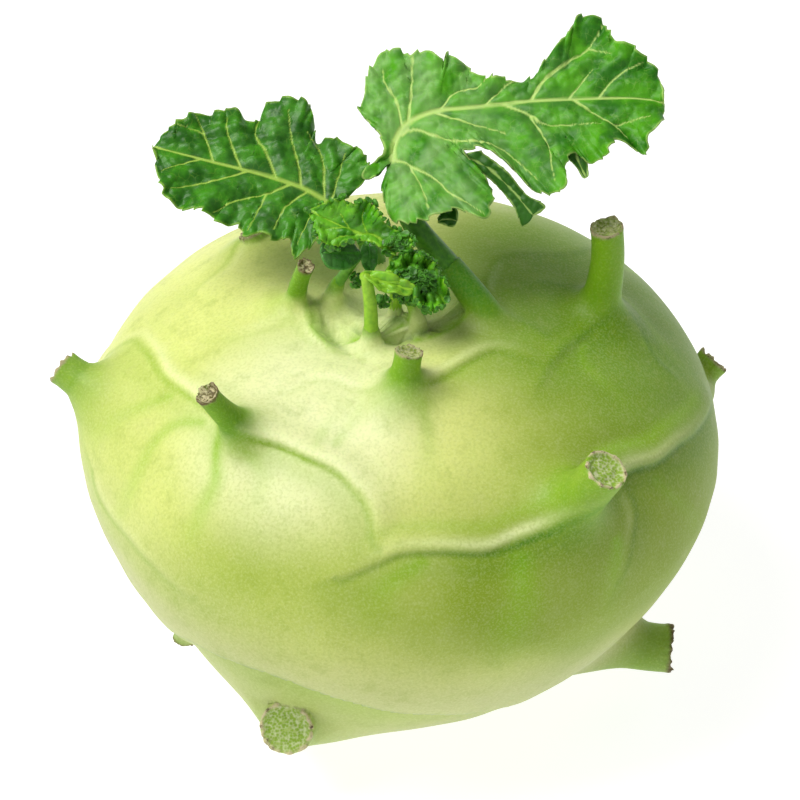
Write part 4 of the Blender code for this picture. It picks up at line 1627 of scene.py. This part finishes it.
    def bloom(self, flat: Array, values: dict[str, Array]) -> Array:
        """Return where the grey waxy bloom lies: near the base and beside the veins.

        Args:
            flat: Places in the blade's plane.
            values: The sheet's values, by name.

        Returns:
            A mask.
        """
        base = ramp(flat[:, 0], 22.0, 2.0) * (0.55 + 0.45 * wobble(flat, 5.0, self.seed + 30))
        beside = bell(values["near_vein"] - 0.7, 0.7) * 0.25
        return np.clip((base + beside) * ramp(flat[:, 0], 34.0, 20.0), 0, 1)


class GeometryNet(Graph):
    """A Geometry Nodes tree with named number inputs that grows round forms on a plain mesh."""

    def __init__(self, name: str, material: bpy.types.Material, **numbers: float) -> None:
        """Make the tree and its inputs, with the number that each is set to.

        Args:
            name: The tree's name.
            material: What the grown forms wear.
            numbers: The inputs.
        """
        super().__init__(bpy.data.node_groups.new(name, "GeometryNodeTree"))
        self.material = material
        self.numbers = {}
        interface = self.tree.interface
        interface.new_socket("Geometry", in_out="INPUT", socket_type="NodeSocketGeometry")
        interface.new_socket("Geometry", in_out="OUTPUT", socket_type="NodeSocketGeometry")
        for label, number in numbers.items():
            kind = "NodeSocketInt" if isinstance(number, int) else "NodeSocketFloat"
            socket = interface.new_socket(label, in_out="INPUT", socket_type=kind)
            self.numbers[socket.identifier] = number
        self.source = self.node("NodeGroupInput")
        last = self.node("GeometryNodeRealizeInstances", None, {0: self.grown()})
        coat = self.node("GeometryNodeSetMaterial", None, {0: last.outputs[0], "Material": material})
        self.node("NodeGroupOutput", None, {0: coat.outputs[0]})

    def grown(self) -> Any:
        """Return the socket of the grown geometry."""
        raise NotImplementedError

    def read(self, name: str, kind: str = "FLOAT") -> Any:
        """Return an attribute of the plain mesh."""
        return self.node("GeometryNodeInputNamedAttribute", {"data_type": kind}, {"Name": name}).outputs[0]

    def smooth(self, geometry: Any) -> Any:
        """Return geometry with smooth faces."""
        return self.node("GeometryNodeSetShadeSmooth", None, {0: geometry}).outputs[0]

    def apply(self, item: bpy.types.Object) -> bpy.types.Object:
        """Turn a plain mesh object into what grows on it.

        Args:
            item: The plain mesh object.

        Returns:
            The same object.
        """
        modifier = item.modifiers.new("growth", "NODES")
        modifier.node_group = self.tree
        for identifier, number in self.numbers.items():
            modifier[identifier] = number
        baked(item)
        if not item.data.materials:
            item.data.materials.append(self.material)
        return item


class RibNet(GeometryNet):
    """Turns edges with a radius attribute into round ribs."""

    def grown(self) -> Any:
        """Return tubes along the mesh's edges.

        Returns:
            The socket of the tubes.
        """
        curve = self.node("GeometryNodeMeshToCurve", None, {0: self.source.outputs["Geometry"]})
        radius = Value(self, self.read("radius")) * Value(self, self.source.outputs["Swell"])
        sized = self.node("GeometryNodeSetCurveRadius", None, {"Curve": curve.outputs[0], "Radius": radius})
        sides = {"Radius": 1.0, "Resolution": self.source.outputs["Sides"]}
        ring = self.node("GeometryNodeCurvePrimitiveCircle", None, sides)
        ends = {"Curve": sized.outputs[0], "Profile Curve": ring.outputs[0], "Fill Caps": True}
        tube = self.node("GeometryNodeCurveToMesh", None, ends)
        if "Scale" in tube.inputs:
            self.feed(tube.inputs["Scale"], self.node("GeometryNodeInputRadius").outputs[0])
        return self.smooth(tube.outputs[0])

    def grow(self, name: str, lines: Sequence[tuple[Array, Array]]) -> bpy.types.Object:
        """Return the ribs along lines.

        Args:
            name: The new object's name.
            lines: Points in millimetres with the radius at each.

        Returns:
            The plain mesh object.
        """
        points, radii, edges = [], [], []
        for line, sizes in lines:
            start = len(points)
            points.extend(line.tolist())
            radii.extend(np.asarray(sizes) * MM)
            edges.extend([[start + step, start + step + 1] for step in range(len(line) - 1)])
        item = mesh_object(name, np.array(points), [], edges)
        write_mask(item, "radius", np.array(radii))
        return self.apply(item)


class LobeNet(GeometryNet):
    """Sets a small cupped lobe on each point, turned along its aim and round it at random."""

    def grown(self) -> Any:
        """Return the lobes.

        Returns:
            The socket of the lobes.
        """
        ball = self.node("GeometryNodeMeshUVSphere", None, {"Segments": 8, "Rings": 6, "Radius": 1.0})
        position = self.node("GeometryNodeInputPosition").outputs[0]
        split = self.node("ShaderNodeSeparateXYZ", None, {0: position})
        across, back, high = (Value(self, socket) for socket in split.outputs)
        cup = Value(self, self.source.outputs["Cup"])
        lifted = high * 0.3 + cup * (across * across + back * back) + across * back * 0.35
        place = self.node("ShaderNodeCombineXYZ", None, {0: across, 1: back * 0.8, 2: lifted})
        moved = {"Geometry": ball.outputs[0], "Position": place.outputs[0]}
        lobe = self.node("GeometryNodeSetPosition", None, moved)
        aim = self.read("aim", "FLOAT_VECTOR")
        aimed = self.node("FunctionNodeAlignRotationToVector", {"axis": "Z"}, {"Vector": aim})
        limits = {2: 0.0, 3: 2 * pi, "Seed": self.source.outputs["Seed"]}
        chance = self.node("FunctionNodeRandomValue", {"data_type": "FLOAT"}, limits)
        turn = self.node("ShaderNodeCombineXYZ", None, {2: chance.outputs[1]})
        spin = self.node("FunctionNodeEulerToRotation", None, {0: turn.outputs[0]})
        turns = {0: aimed.outputs[0], 1: spin.outputs[0]}
        turned = self.node("FunctionNodeRotateRotation", {"rotation_space": "LOCAL"}, turns)
        points = self.node("GeometryNodeMeshToPoints", None, {0: self.source.outputs["Geometry"]})
        size = self.node("ShaderNodeCombineXYZ", None, dict.fromkeys(range(3), self.read("size")))
        sources = {"Points": points, "Instance": lobe, "Rotation": turned, "Scale": size}
        inputs = {label: source.outputs[0] for label, source in sources.items()}
        grown = self.node("GeometryNodeInstanceOnPoints", None, inputs)
        solid = self.node("GeometryNodeRealizeInstances", None, {0: grown.outputs[0]})
        return self.smooth(solid.outputs[0])

    def grow(self, name: str, points: Array, aims: Array, sizes: Array) -> bpy.types.Object:
        """Return lobes on points, each along its aim and with its radius in millimetres.

        Args:
            name: The new object's name.
            points: Where they sit.
            aims: Their directions.
            sizes: Their radii.

        Returns:
            The object.
        """
        item = mesh_object(name, points, [])
        write_places(item, "aim", aims)
        write_mask(item, "size", sizes * MM)
        return self.apply(item)


@dataclass(frozen=True)
class Tuft:
    """A tuft of small crinkled lobes: its middle, its half sizes, how many there are and their radius."""

    middle: Point
    spread: Point
    count: int
    size: float

    def scatter(self, seed: int) -> tuple[Array, Array, Array]:
        """Return the lobes' places, aims and sizes.

        Args:
            seed: The start of the random draws.

        Returns:
            The three arrays.
        """
        draw = np.random.default_rng(seed)
        ways = unit(draw.normal(size=(self.count, 3)))
        shell = draw.uniform(0.35, 1.0, self.count) ** 0.5
        points = np.array(self.middle) + ways * shell[:, None] * np.array(self.spread)
        aims = unit(ways + draw.normal(size=(self.count, 3)) * 0.45 + np.array([0.0, -0.2, 0.5]))
        return points, aims, self.size * draw.uniform(0.55, 1.2, self.count)


@dataclass
class Leaf:
    """A whole leaf: blades, a stalk that runs on as the midrib, and raised ribs under the blade."""

    node: str
    slot: str
    blades: tuple[Blade, ...]
    finish: LeafFinish
    stalk_finish: StalkFinish
    stalk: tuple[Point, ...]
    stalk_radii: tuple[float, ...]
    tip_radius: float
    tufts: tuple[Tuft, ...] = ()
    side_stalks: tuple[tuple[tuple[Point, ...], tuple[float, ...]], ...] = ()

    def stalk_line(self, blade: Blade, made: dict[str, Array]) -> tuple[Array, Array]:
        """Return the stalk and midrib as one smooth line with its radius.

        Args:
            blade: The blade that the stalk runs into.
            made: The blade's sheet as grids.

        Returns:
            The line's points, and the radius at each.
        """
        stations = np.linspace(0.02, 0.94, 26)
        places = along_line(smooth_path(blade.midrib, 200), stations)
        rib = blade.at(made, places, 0.1)
        last = self.stalk_radii[-1]
        rib_radii = self.tip_radius + (last - self.tip_radius) * (1 - stations) ** 1.6
        free = smooth_path(self.stalk, 40)
        knots = np.linspace(0, len(self.stalk) - 1, 40)
        free_radii = np.interp(knots, np.arange(len(self.stalk)), self.stalk_radii)
        drop = rib_radii * 0.75
        _, _, facing = blade.axes()
        rib = rib - facing * drop[:, None]
        whole = np.vstack([free, rib])
        radii = np.concatenate([free_radii, rib_radii])
        shares = np.linspace(0, 1, 140)
        packed = along_line(np.column_stack([whole, radii]), shares)
        line = packed[:, :3]
        for _ in range(8):
            line[1:-1] = (line[:-2] + 2 * line[1:-1] + line[2:]) / 4
        return line, packed[:, 3]

    def build(self) -> list[bpy.types.Object]:
        """Make and dress the leaf and its ribs.

        Returns:
            Its objects.
        """
        paint = self.finish.material()
        shells = []
        main_made: dict[str, Array] = {}
        lobes = [tuft.scatter(70 + number) for number, tuft in enumerate(self.tufts)]
        for blade in self.blades:
            made = blade.sheet()
            main_made = main_made or made
            shells.append(blade.shell(made))
            if blade.knob:
                lobes.append(blade.knobs(made))
        item = joined(shells, self.node + "_blade") if len(shells) > 1 else shells[0]
        item.name = self.node + "_blade"
        item.data.materials.clear()
        item.data.materials.append(paint)
        blade = self.blades[0]
        net = RibNet(self.node + "_rib_net", self.stalk_finish.material(), Sides=14, Swell=1.0)
        lines = [self.stalk_line(blade, main_made)]
        for corners, sizes in self.side_stalks:
            course = smooth_path(np.column_stack([corners, sizes]), 30)
            lines.append((course[:, :3], course[:, 3]))
        for vein in blade.veins:
            places = smooth_path(vein.places, 16)
            radii = np.linspace(vein.start, vein.end, 16) * 0.42
            lines.append((blade.at(main_made, places, blade.thickness * 0.5), radii))
        pieces = [item, net.grow(self.node + "_ribs", lines)]
        if lobes:
            crinkles = LobeNet(self.node + "_lobe_net", LOBE_FINISH.material(), Seed=5, Cup=0.55)
            gathered = [np.concatenate(part) for part in zip(*lobes)]
            pieces.append(crinkles.grow(self.node + "_lobes", *gathered))
        for piece in pieces:
            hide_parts(self.node)
            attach(piece, BODY)
        return pieces


RIGHT_BLADE = Blade(
    name="right",
    origin=(-1.2, 3.0, 46.5),
    along=(0.97, 0.07, 0.22),
    facing=(-0.15, -0.55, 0.82),
    midrib=((0, 0), (0.5, 2), (2.5, 4.5), (6.5, 5.5), (11, 5), (19.5, 4), (25, 3), (32.5, 1.5), (36.8, 0)),
    left_ribs=(
        (0.000, -2.8, -2.6), (0.010, -4.3, -2.3), (0.018, -3.6, -0.9), (0.03, -1.2, 0.6),
        (0.045, -0.9, 2.2), (0.055, -1.3, 4), (0.07, -2.3, 6), (0.085, -3.3, 8.3), (0.10, -2.2, 10.3),
        (0.115, -1.6, 12.3), (0.14, 0, 14.5), (0.17, 3, 15.5), (0.19, 5, 14), (0.21, 7.5, 14),
        (0.24, 9.3, 11.8), (0.26, 10.2, 13), (0.30, 12, 11), (0.39, 15, 8.5), (0.53, 20, 7.4),
        (0.58, 23.2, 9.6), (0.64, 26.5, 12), (0.685, 28.5, 14.5), (0.73, 31, 13.5), (0.79, 32.5, 9.5),
        (0.84, 34.5, 8.2), (0.90, 36.5, 5.5), (0.96, 37.2, 2.5), (1.0, 36.8, 0),
    ),
    right_ribs=(
        (0.000, -2.3, -3.6), (0.01, -2.2, -6), (0.02, -1.7, -8.5), (0.035, 0.5, -10), (0.06, 4, -10),
        (0.09, 7.5, -10), (0.12, 10.3, -11.6), (0.16, 12.2, -9), (0.20, 11.4, -5), (0.24, 9.6, -1.9),
        (0.265, 11.8, -1.7), (0.29, 14, -3.6), (0.33, 16, -6.5), (0.38, 17.5, -9), (0.42, 20, -10.3),
        (0.47, 22, -10),
        (0.52, 22.3, -7), (0.56, 24, -4.8), (0.60, 25.5, -7), (0.65, 28, -6.5), (0.70, 29.5, -4.8),
        (0.76, 31.5, -5.8), (0.82, 33, -7.3), (0.86, 34, -5), (0.92, 35.8, -3.5), (1.0, 36.8, 0),
    ),
    fold=0.08,
    ruffle=0.9,
    waves=5.0,
    arch=1.5,
    seed=3,
    veins=(
        Vein(((3, 5), (4.5, 10), (5.5, 14)), 0.5),
        Vein(((2, 4), (2, 8), (1, 11), (1, 13)), 0.4),
        Vein(((7, 5.5), (8, 6), (10, 7.5), (13, 7.5), (14.5, 8.5))),
        Vein(((13.5, 4.8), (14.5, 5.5), (17, 7), (19.5, 8))),
        Vein(((19.5, 4), (22, 6.5), (26, 8.5), (28.5, 9.5), (31, 12.5)), 0.5),
        Vein(((28.5, 9.5), (31.5, 8)), 0.25),
        Vein(((24.5, 3.2), (28.5, 6.5)), 0.3),
        Vein(((28.5, 2.5), (31, 4.5), (35, 6)), 0.35),
        Vein(((6.5, 5.4), (11, 2.5), (15.5, 0)), 0.4),
        Vein(((15.5, 4.5), (19, 2), (21, 0), (28, -1.5)), 0.45),
        Vein(((25, 3), (27.5, 0), (29.5, -2), (31.5, -5)), 0.4),
        Vein(((29.5, -2), (34.5, -2)), 0.25),
        Vein(((1.2, 3), (3.5, 3.5), (6, 2), (8.5, 0.5), (13.5, -1.5), (16, -4), (18.5, -8)), 0.5),
        Vein(((0, 0), (2, -1.5), (5, -4.5), (7, -7.5), (10.5, -11)), 0.5),
        Vein(((2, -1.5), (3, -5), (3.5, -9)), 0.3),
        Vein(((19, 2), (20.5, -3), (20.5, -8.5)), 0.3),
    ),
)
SCRAP = {
    "fold": 0.1, "ruffle": 0.25, "waves": 2.0, "arch": 0.4, "rows": 90, "columns": 14,
    "midrib_width": (0.2, 0.1),
    "tooth": 0.3, "tooth_gap": 1.5, "frill": 0.15, "pucker": 0.1,
}
RIGHT_EDGE = Blade(
    name="right_edge",
    origin=(8.0, 2.0, 47.7),
    along=(0.72, -0.43, -0.51),
    facing=(0.30, 0.80, -0.52),
    midrib=((0, -0.3), (4, -1.3), (8, -1.3), (12.3, -0.8)),
    left_ribs=(
        (0.00, 0, 0.1), (0.30, 4, -0.2), (0.60, 7.5, -0.1), (0.80, 9.9, 0.4), (0.95, 12.2, 1.4),
        (1.0, 12.3, -0.8),
    ),
    right_ribs=(
        (0.00, 0.1, -0.5), (0.10, 1.3, -2.2), (0.17, 2.1, -2.2), (0.40, 5.2, -2.7), (0.55, 6.6, -2.6),
        (0.75, 9.6, -2.1), (0.93, 12.3, -2.9), (0.97, 12.8, -2.2), (1.0, 12.3, -0.8),
    ),
    seed=6,
    **SCRAP,
)
RIGHT_TURN = Blade(
    name="right_turn",
    origin=(22.9, 2.0, 49.2),
    along=(0.37, -0.60, -0.71),
    facing=(0.25, 0.75, -0.60),
    midrib=((0, 0), (2, 0.2), (4.4, 0)),
    left_ribs=(
        (0.00, -0.2, 1.0), (0.20, 0.6, 2.0), (0.35, 1.2, 1.4), (0.60, 2.6, 0.8), (0.90, 4.2, 0.5),
        (1.0, 4.4, 0),
    ),
    right_ribs=((0.00, -0.3, -0.8), (0.30, 1.0, -1.0), (0.70, 3.0, -0.7), (0.95, 4.2, -0.4), (1.0, 4.4, 0)),
    seed=7,
    **SCRAP,
)
RIGHT_FOLD = Blade(
    name="right_fold",
    origin=(4.8, -1.0, 39.3),
    along=(1.0, 0.0, 0.0),
    facing=(0.20, 0.77, -0.60),
    midrib=((0, 0), (1.3, -0.2), (2.6, 0)),
    left_ribs=((0.00, 0, 0.2), (0.50, 1.3, 0.7), (0.85, 2.1, 0.8), (1.0, 2.6, 0)),
    right_ribs=((0.00, 0, -0.4), (0.40, 1.0, -1.9), (0.70, 2.0, -2.0), (0.90, 2.6, -1.4), (1.0, 2.6, 0)),
    seed=8,
    **SCRAP,
)
LEFT_BLADE = Blade(
    name="left",
    origin=(-9.7, 3.0, 39.1),
    along=(-0.94, 0.23, 0.24),
    facing=(0.10, -0.50, 0.86),
    midrib=((0, 0), (4, -1), (10, -1), (17, -0.5), (25.5, 0)),
    left_ribs=(
        (0.00, -0.2, 0.8), (0.04, 0.5, 2), (0.06, 0.5, 3.5), (0.10, 0, 5.8), (0.12, 0.8, 7.6),
        (0.14, 2.2, 9.2), (0.17, 3.3, 7), (0.21, 5.5, 8), (0.26, 7.5, 8), (0.31, 9, 9.2), (0.36, 10.3, 7.6),
        (0.44, 13, 8), (0.52, 16, 7.5), (0.62, 18.5, 8), (0.72, 21, 7), (0.80, 22.5, 5.5),
        (0.90, 23.8, 3), (1.0, 25.5, 0),
    ),
    right_ribs=(
        (0.00, -0.6, -0.5), (0.02, -2.0, -2.2), (0.04, -3.1, -4.4), (0.06, -3.1, -7), (0.09, -1.8, -8.4),
        (0.13, 0, -9), (0.18, 3, -9.5), (0.22, 5, -8.5), (0.26, 6, -11), (0.32, 8, -13),
        (0.38, 10.5, -12.5), (0.44, 13, -11.5), (0.48, 13.3, -9), (0.52, 15, -8.2), (0.60, 17, -8.6),
        (0.70, 19.5, -7.6), (0.80, 22, -6.2), (0.90, 24.2, -3.5), (1.0, 25.5, 0),
    ),
    fold=0.07,
    ruffle=0.8,
    waves=4.0,
    arch=1.2,
    seed=9,
    rows=260,
    columns=40,
    midrib_width=(0.8, 0.3),
    veins=(
        Vein(((17, -0.6), (19.5, -4), (22, -6.5)), 0.35),
        Vein(((19.5, -4), (23.5, -4)), 0.2),
        Vein(((13, -0.8), (16.5, -5), (17.5, -7.5)), 0.35),
        Vein(((8, -1), (10.5, -4), (13, -6.5), (13.5, -10)), 0.4),
        Vein(((4.5, -1), (6, -4), (8, -7), (10, -11)), 0.4),
        Vein(((1, -0.5), (2.5, -4.5), (4, -7), (6.5, -9)), 0.35),
        Vein(((0, -0.3), (0.3, -4), (0.5, -7.5)), 0.3),
        Vein(((18.5, -0.5), (23, 3)), 0.3),
        Vein(((12, -0.9), (15.5, 2), (21, 5.5)), 0.4),
        Vein(((6, -1), (8.5, 1.5), (12, 4), (14.5, 7)), 0.4),
        Vein(((8.5, 1.5), (8.7, 4), (9, 8)), 0.25),
        Vein(((3.5, -0.8), (5.5, 2.5), (6, 6.5)), 0.35),
        Vein(((1.2, -0.3), (2, 3), (2.2, 7)), 0.3),
    ),
)
CLUSTER_BLADE = Blade(
    name="heart_cluster",
    origin=(-2.2, -9.5, 37.1),
    along=(0.89, -0.29, -0.35),
    facing=(0.05, -0.72, 0.69),
    midrib=((0, 0), (3, 1), (6, 1), (9, 0.2)),
    left_ribs=(
        (0.00, 0, 0.6), (0.12, 0.5, 2.2), (0.28, 1.9, 4.0), (0.50, 4.2, 4.3), (0.70, 5.9, 3.6),
        (0.88, 8.1, 2.0),
        (1.0, 9.0, 0.2),
    ),
    right_ribs=(
        (0.00, 0, -0.5), (0.25, 3.1, -1.3), (0.45, 5.3, -1.8), (0.70, 7.5, -2.1), (0.88, 8.5, -1.0),
        (1.0, 9.0, 0.2),
    ),
    fold=0.15,
    ruffle=0.9,
    waves=5.0,
    arch=0.8,
    seed=12,
    rows=190,
    columns=30,
    tooth=0.6,
    tooth_gap=0.9,
    frill=0.7,
    frill_gap=1.2,
    crinkle=0.6,
    knob=0.5,
    knob_gap=0.75,
    midrib_width=(0.4, 0.15),
)
FOLD_BLADE = Blade(
    name="heart_fold",
    origin=(-5.1, -11.3, 38.2),
    along=(0.955, -0.19, -0.227),
    facing=(0.0, -0.55, 0.83),
    midrib=((0, 0), (2.5, -0.2), (5, -0.1), (7, 0)),
    left_ribs=(
        (0.00, 0, 0.3), (0.20, 1.5, 0.9), (0.45, 3.3, 1.1), (0.75, 5.3, 1.0), (0.95, 6.9, 0.7), (1.0, 7.0, 0),
    ),
    right_ribs=(
        (0.00, 0, -0.4), (0.20, 1.6, -1.1), (0.42, 3.0, -1.7), (0.72, 5.2, -1.3), (0.92, 6.6, -0.9),
        (1.0, 7.0, 0),
    ),
    fold=0.3,
    ruffle=0.3,
    waves=2.0,
    arch=0.5,
    seed=13,
    rows=110,
    columns=20,
    crinkle=0.12,
    pale=0.75,
    frill=0.25,
    frill_gap=1.6,
    midrib_width=(0.5, 0.2),
    veins=(Vein(((1.5, -0.1), (3.5, -0.9), (5.5, -1.1)), 0.2), Vein(((2.5, -0.2), (5, 0.5)), 0.2)),
)
HEART_LEFT_BLADE = Blade(
    name="heart_left",
    origin=(-2.2, -7.4, 40.3),
    along=(-0.914, 0.261, 0.311),
    facing=(-0.05, -0.75, 0.66),
    midrib=((-1.8, 0.6), (1.7, -0.35), (3.4, 0.1), (7, 0.3), (11.2, 0.1)),
    left_ribs=(
        (0.00, -1.9, 1.0), (0.15, -0.5, 1.0), (0.30, 1.5, 0.7), (0.42, 3.2, 1.1), (0.55, 4.7, 2.0),
        (0.68, 5.9, 3.3),
        (0.80, 7.6, 3.4), (0.90, 9.2, 2.2), (1.0, 11.2, 0.1),
    ),
    right_ribs=(
        (0.00, -3.6, -0.8), (0.08, -3.2, -1.9), (0.20, -1.1, -2.2), (0.30, 1.0, -2.5), (0.40, 2.8, -3.7),
        (0.50, 4.7, -4.3), (0.60, 6.0, -2.9), (0.72, 7.6, -3.0), (0.86, 9.4, -1.7), (0.95, 10.6, -0.5),
        (1.0, 11.2, 0.1),
    ),
    fold=0.2,
    ruffle=0.5,
    waves=4.0,
    arch=0.8,
    seed=15,
    rows=190,
    columns=28,
    tooth=0.4,
    tooth_gap=1.2,
    frill=0.4,
    frill_gap=1.3,
    crinkle=0.16,
    knob=0.6,
    knob_gap=1.4,
    midrib_width=(0.5, 0.2),
    veins=(
        Vein(((3, 0), (5, 1.2), (6.5, 2.4)), 0.18), Vein(((5.5, 0.3), (8, 1.4)), 0.16),
        Vein(((2.5, -0.1), (4, -1.6), (4.6, -3)), 0.2), Vein(((5, 0.2), (7, -1.2)), 0.18),
    ),
)
FUZZY_BLADE = Blade(
    name="heart_fuzzy",
    origin=(-4.3, -6.0, 34.6),
    along=(-0.05, 0.64, 0.76),
    facing=(0.1, -0.77, 0.64),
    midrib=((0, 0), (2, 0), (4.3, 0)),
    left_ribs=((0.00, 0, 0.5), (0.30, 1.3, 1.1), (0.70, 3.0, 1.1), (1.0, 4.3, 0)),
    right_ribs=((0.00, 0, -0.5), (0.30, 1.3, -1.1), (0.70, 3.0, -1.1), (1.0, 4.3, 0)),
    pale=0.35,
    seed=19,
    **SCRAP,
)
SPOON_BLADE = Blade(
    name="heart_spoon",
    origin=(-5.6, -5.0, 36.7),
    along=(-0.80, -0.35, 0.30),
    facing=(-0.10, -0.62, 0.78),
    midrib=((0, 0), (2.5, 0), (5.5, 0)),
    left_ribs=(
        (0.00, 0, 0.8), (0.25, 1.4, 1.8), (0.50, 3, 2.2), (0.75, 4.8, 1.9), (0.90, 5.6, 1), (1.0, 5.8, 0),
    ),
    right_ribs=(
        (0.00, 0, -0.8), (0.25, 1.4, -1.8), (0.50, 3, -2.2), (0.75, 4.8, -1.9), (0.90, 5.6, -1),
        (1.0, 5.8, 0),
    ),
    fold=-0.12,
    ruffle=0.1,
    waves=1.0,
    arch=0.4,
    seed=18,
    rows=70,
    columns=20,
    tooth=0.0,
    frill=0.0,
    pucker=0.08,
    thickness=0.7,
    midrib_width=(0.3, 0.1),
)
# The right leaf's underside colour, 2c6210, is darker than its top: painted shade on its turned-under strips.
RIGHT_FINISH = LeafFinish("leaf_green", "52a30b", "256f03", "bcdc78", "2c6210", "9ccd74", 0.45)
LEFT_FINISH = LeafFinish("leaf_green_dark", "3f8c0c", "1c5a04", "a8cc54", "5f9a2c", "7fb65e", 0.12, 0.34)
YOUNG_FINISH = LeafFinish("young_green", "62b412", "2b7a06", "96cc34", "6fae2c", "9fce5a", 0.15, 0.3)
SPOON_FINISH = LeafFinish("young_dark", "2f7d1c", "1a520e", "4f9a30", "4f8f2d", "8fbf7a", 0.2, 0.2)
LOBE_FINISH = StalkFinish("young_lobes", "58a824", "0f3f05")
GREEN_STALK = StalkFinish("stalk_green", "569a10", "2a6605")
LEFT_STALK = StalkFinish("stalk_leaf", "6aa32c", "3f7f14")
PALE_STALK = StalkFinish("stalk_pale", "a4d234", "78b01a")
LEAVES = (
    Leaf(
        "leaf_right", "leaf_green", (RIGHT_BLADE, RIGHT_EDGE, RIGHT_TURN, RIGHT_FOLD),
        RIGHT_FINISH, GREEN_STALK,
        ((11.9, -7.0, 24.0), (10.6, -6.0, 28.3), (6.5, -3.0, 33.0), (1.7, -1.6, 38.9), (-0.8, 0.8, 43.5)),
        (1.6, 1.7, 1.75, 1.6, 1.2), 0.4,
    ),
    Leaf(
        "leaf_left", "leaf_green", (LEFT_BLADE,), LEFT_FINISH, LEFT_STALK,
        ((-3.0, 4.0, 24.0), (-3.8, 4.0, 29.0), (-5.5, 3.8, 34.5), (-8.2, 3.4, 38.3)),
        (2.2, 1.6, 1.2, 0.9), 0.3,
    ),
    Leaf(
        "heart_leaf_front", "young_green", (FOLD_BLADE, CLUSTER_BLADE), YOUNG_FINISH, PALE_STALK,
        ((-4.0, -12.0, 24.0), (-4.1, -12.0, 28.5), (-4.2, -11.8, 33.5), (-4.7, -11.5, 37.6)),
        (1.5, 1.0, 0.9, 0.75), 0.25,
        tufts=(
            Tuft((1.6, -10.4, 35.4), (3.4, 1.1, 2.9), 330, 0.56),
            Tuft((-2.5, -8.4, 31.5), (0.8, 0.5, 1.0), 24, 0.55),
            Tuft((-6.2, -5.0, 32.3), (0.7, 0.5, 1.0), 18, 0.5),
        ),
        side_stalks=(
            (((2.2, -7.6, 26.0), (1.9, -7.6, 28.4), (1.5, -7.7, 30.0), (0.6, -7.9, 31.8),
            (-0.9, -8.2, 33.4)),
             (1.1, 0.8, 0.6, 0.5, 0.4)),
        ),
    ),
    Leaf(
        "heart_leaf_left", "young_green", (HEART_LEFT_BLADE,), YOUNG_FINISH, PALE_STALK,
        ((-1.2, -6.5, 24.0), (-0.9, -6.6, 29.0), (-1.0, -7.0, 34.0), (-1.3, -7.6, 38.6)),
        (1.2, 0.9, 0.7, 0.5), 0.2,
        tufts=(Tuft((-0.4, -7.8, 40.4), (1.9, 0.6, 1.0), 60, 0.5),),
    ),
    Leaf(
        "heart_leaf_spoon", "young_green", (SPOON_BLADE, FUZZY_BLADE), SPOON_FINISH, LEFT_STALK,
        ((-9.6, -2.6, 24.0), (-9.2, -2.8, 28.8), (-7.8, -3.8, 32.5), (-6.1, -4.7, 35.7)),
        (1.1, 0.8, 0.75, 0.6), 0.3,
    ),
)


# The studio


@dataclass(frozen=True)
class Studio:
    """The floor, the lights and the camera at the photograph's place."""

    camera_distance: float = 420.0
    camera_tilt: float = 40.0
    target_height: float = 32.7
    focal_pixels: float = 2927.0
    middle: Pair = (402.0, 455.0)
    picture: float = 800.0
    sensor: float = 36.0
    floor_size: float = 6.0
    sky: float = 0.24

    def build(self) -> None:
        """Make the floor, lights and camera."""
        self.floor()
        self.light("key", (-0.40, -0.08, 0.71), 0.44, 6.15, (1.0, 0.99, 0.96))
        self.light("fill", (-0.10, -0.62, 0.42), 0.5, 0.3, (1.0, 1.0, 1.0))
        self.light("back", (0.40, 0.42, 0.30), 0.4, 0.6, (1.0, 1.0, 1.0))
        world = bpy.data.worlds.new("sky")
        world.use_nodes = True
        world.node_tree.nodes["Background"].inputs["Color"].default_value = (1.0, 1.0, 1.0, 1.0)
        world.node_tree.nodes["Background"].inputs["Strength"].default_value = self.sky
        bpy.context.scene.world = world
        bpy.context.scene.view_settings.view_transform = "Standard"
        self.camera()

    def floor(self) -> None:
        """Make the plain pale floor."""
        half = self.floor_size / 2
        mesh = bpy.data.meshes.new("floor")
        corners = [(-half, -half, 0), (half, -half, 0), (half, half, 0), (-half, half, 0)]
        mesh.from_pydata(corners, [], [(0, 1, 2, 3)])
        floor = bpy.data.objects.new("floor", mesh)
        bpy.context.scene.collection.objects.link(floor)
        mesh.materials.append(FloorFinish().material())

    def light(self, name: str, place: Point, size: float, power: float, tint: Point) -> None:
        """Make a square soft light that faces the bulb."""
        data = bpy.data.lights.new(name, "AREA")
        data.size = size
        data.energy = power
        data.color = tint
        lamp = bpy.data.objects.new(name, data)
        lamp.location = place
        aim = Vector((0.0, 0.0, self.target_height * MM)) - Vector(place)
        lamp.rotation_euler = aim.to_track_quat("-Z", "Y").to_euler()
        bpy.context.scene.collection.objects.link(lamp)

    def camera(self) -> None:
        """Make the camera at the photograph's viewing angle."""
        tilt = radians(self.camera_tilt)
        data = bpy.data.cameras.new("camera")
        data.sensor_width = self.sensor
        data.lens = self.sensor * self.focal_pixels / self.picture
        data.shift_x = (self.picture / 2 - self.middle[0]) / self.picture
        data.shift_y = (self.middle[1] - self.picture / 2) / self.picture
        data.clip_start, data.clip_end = 0.01, 20.0
        camera = bpy.data.objects.new("camera", data)
        reach = self.camera_distance * MM
        camera.location = (0.0, -reach * cos(tilt), self.target_height * MM + reach * sin(tilt))
        camera.rotation_euler = (pi / 2 - tilt, 0.0, 0.0)
        bpy.context.scene.collection.objects.link(camera)
        bpy.context.scene.camera = camera


def main() -> None:
    """Build every piece in order and report each."""
    logging.basicConfig(level=logging.INFO)
    pieces = [Bulb().build()]
    for leaf in LEAVES:
        pieces.extend(leaf.build())
    for piece in pieces:
        LOG.info("%s: %d faces", piece.name, len(piece.data.polygons))
    Studio().build()


if __name__ == "__main__":
    main()
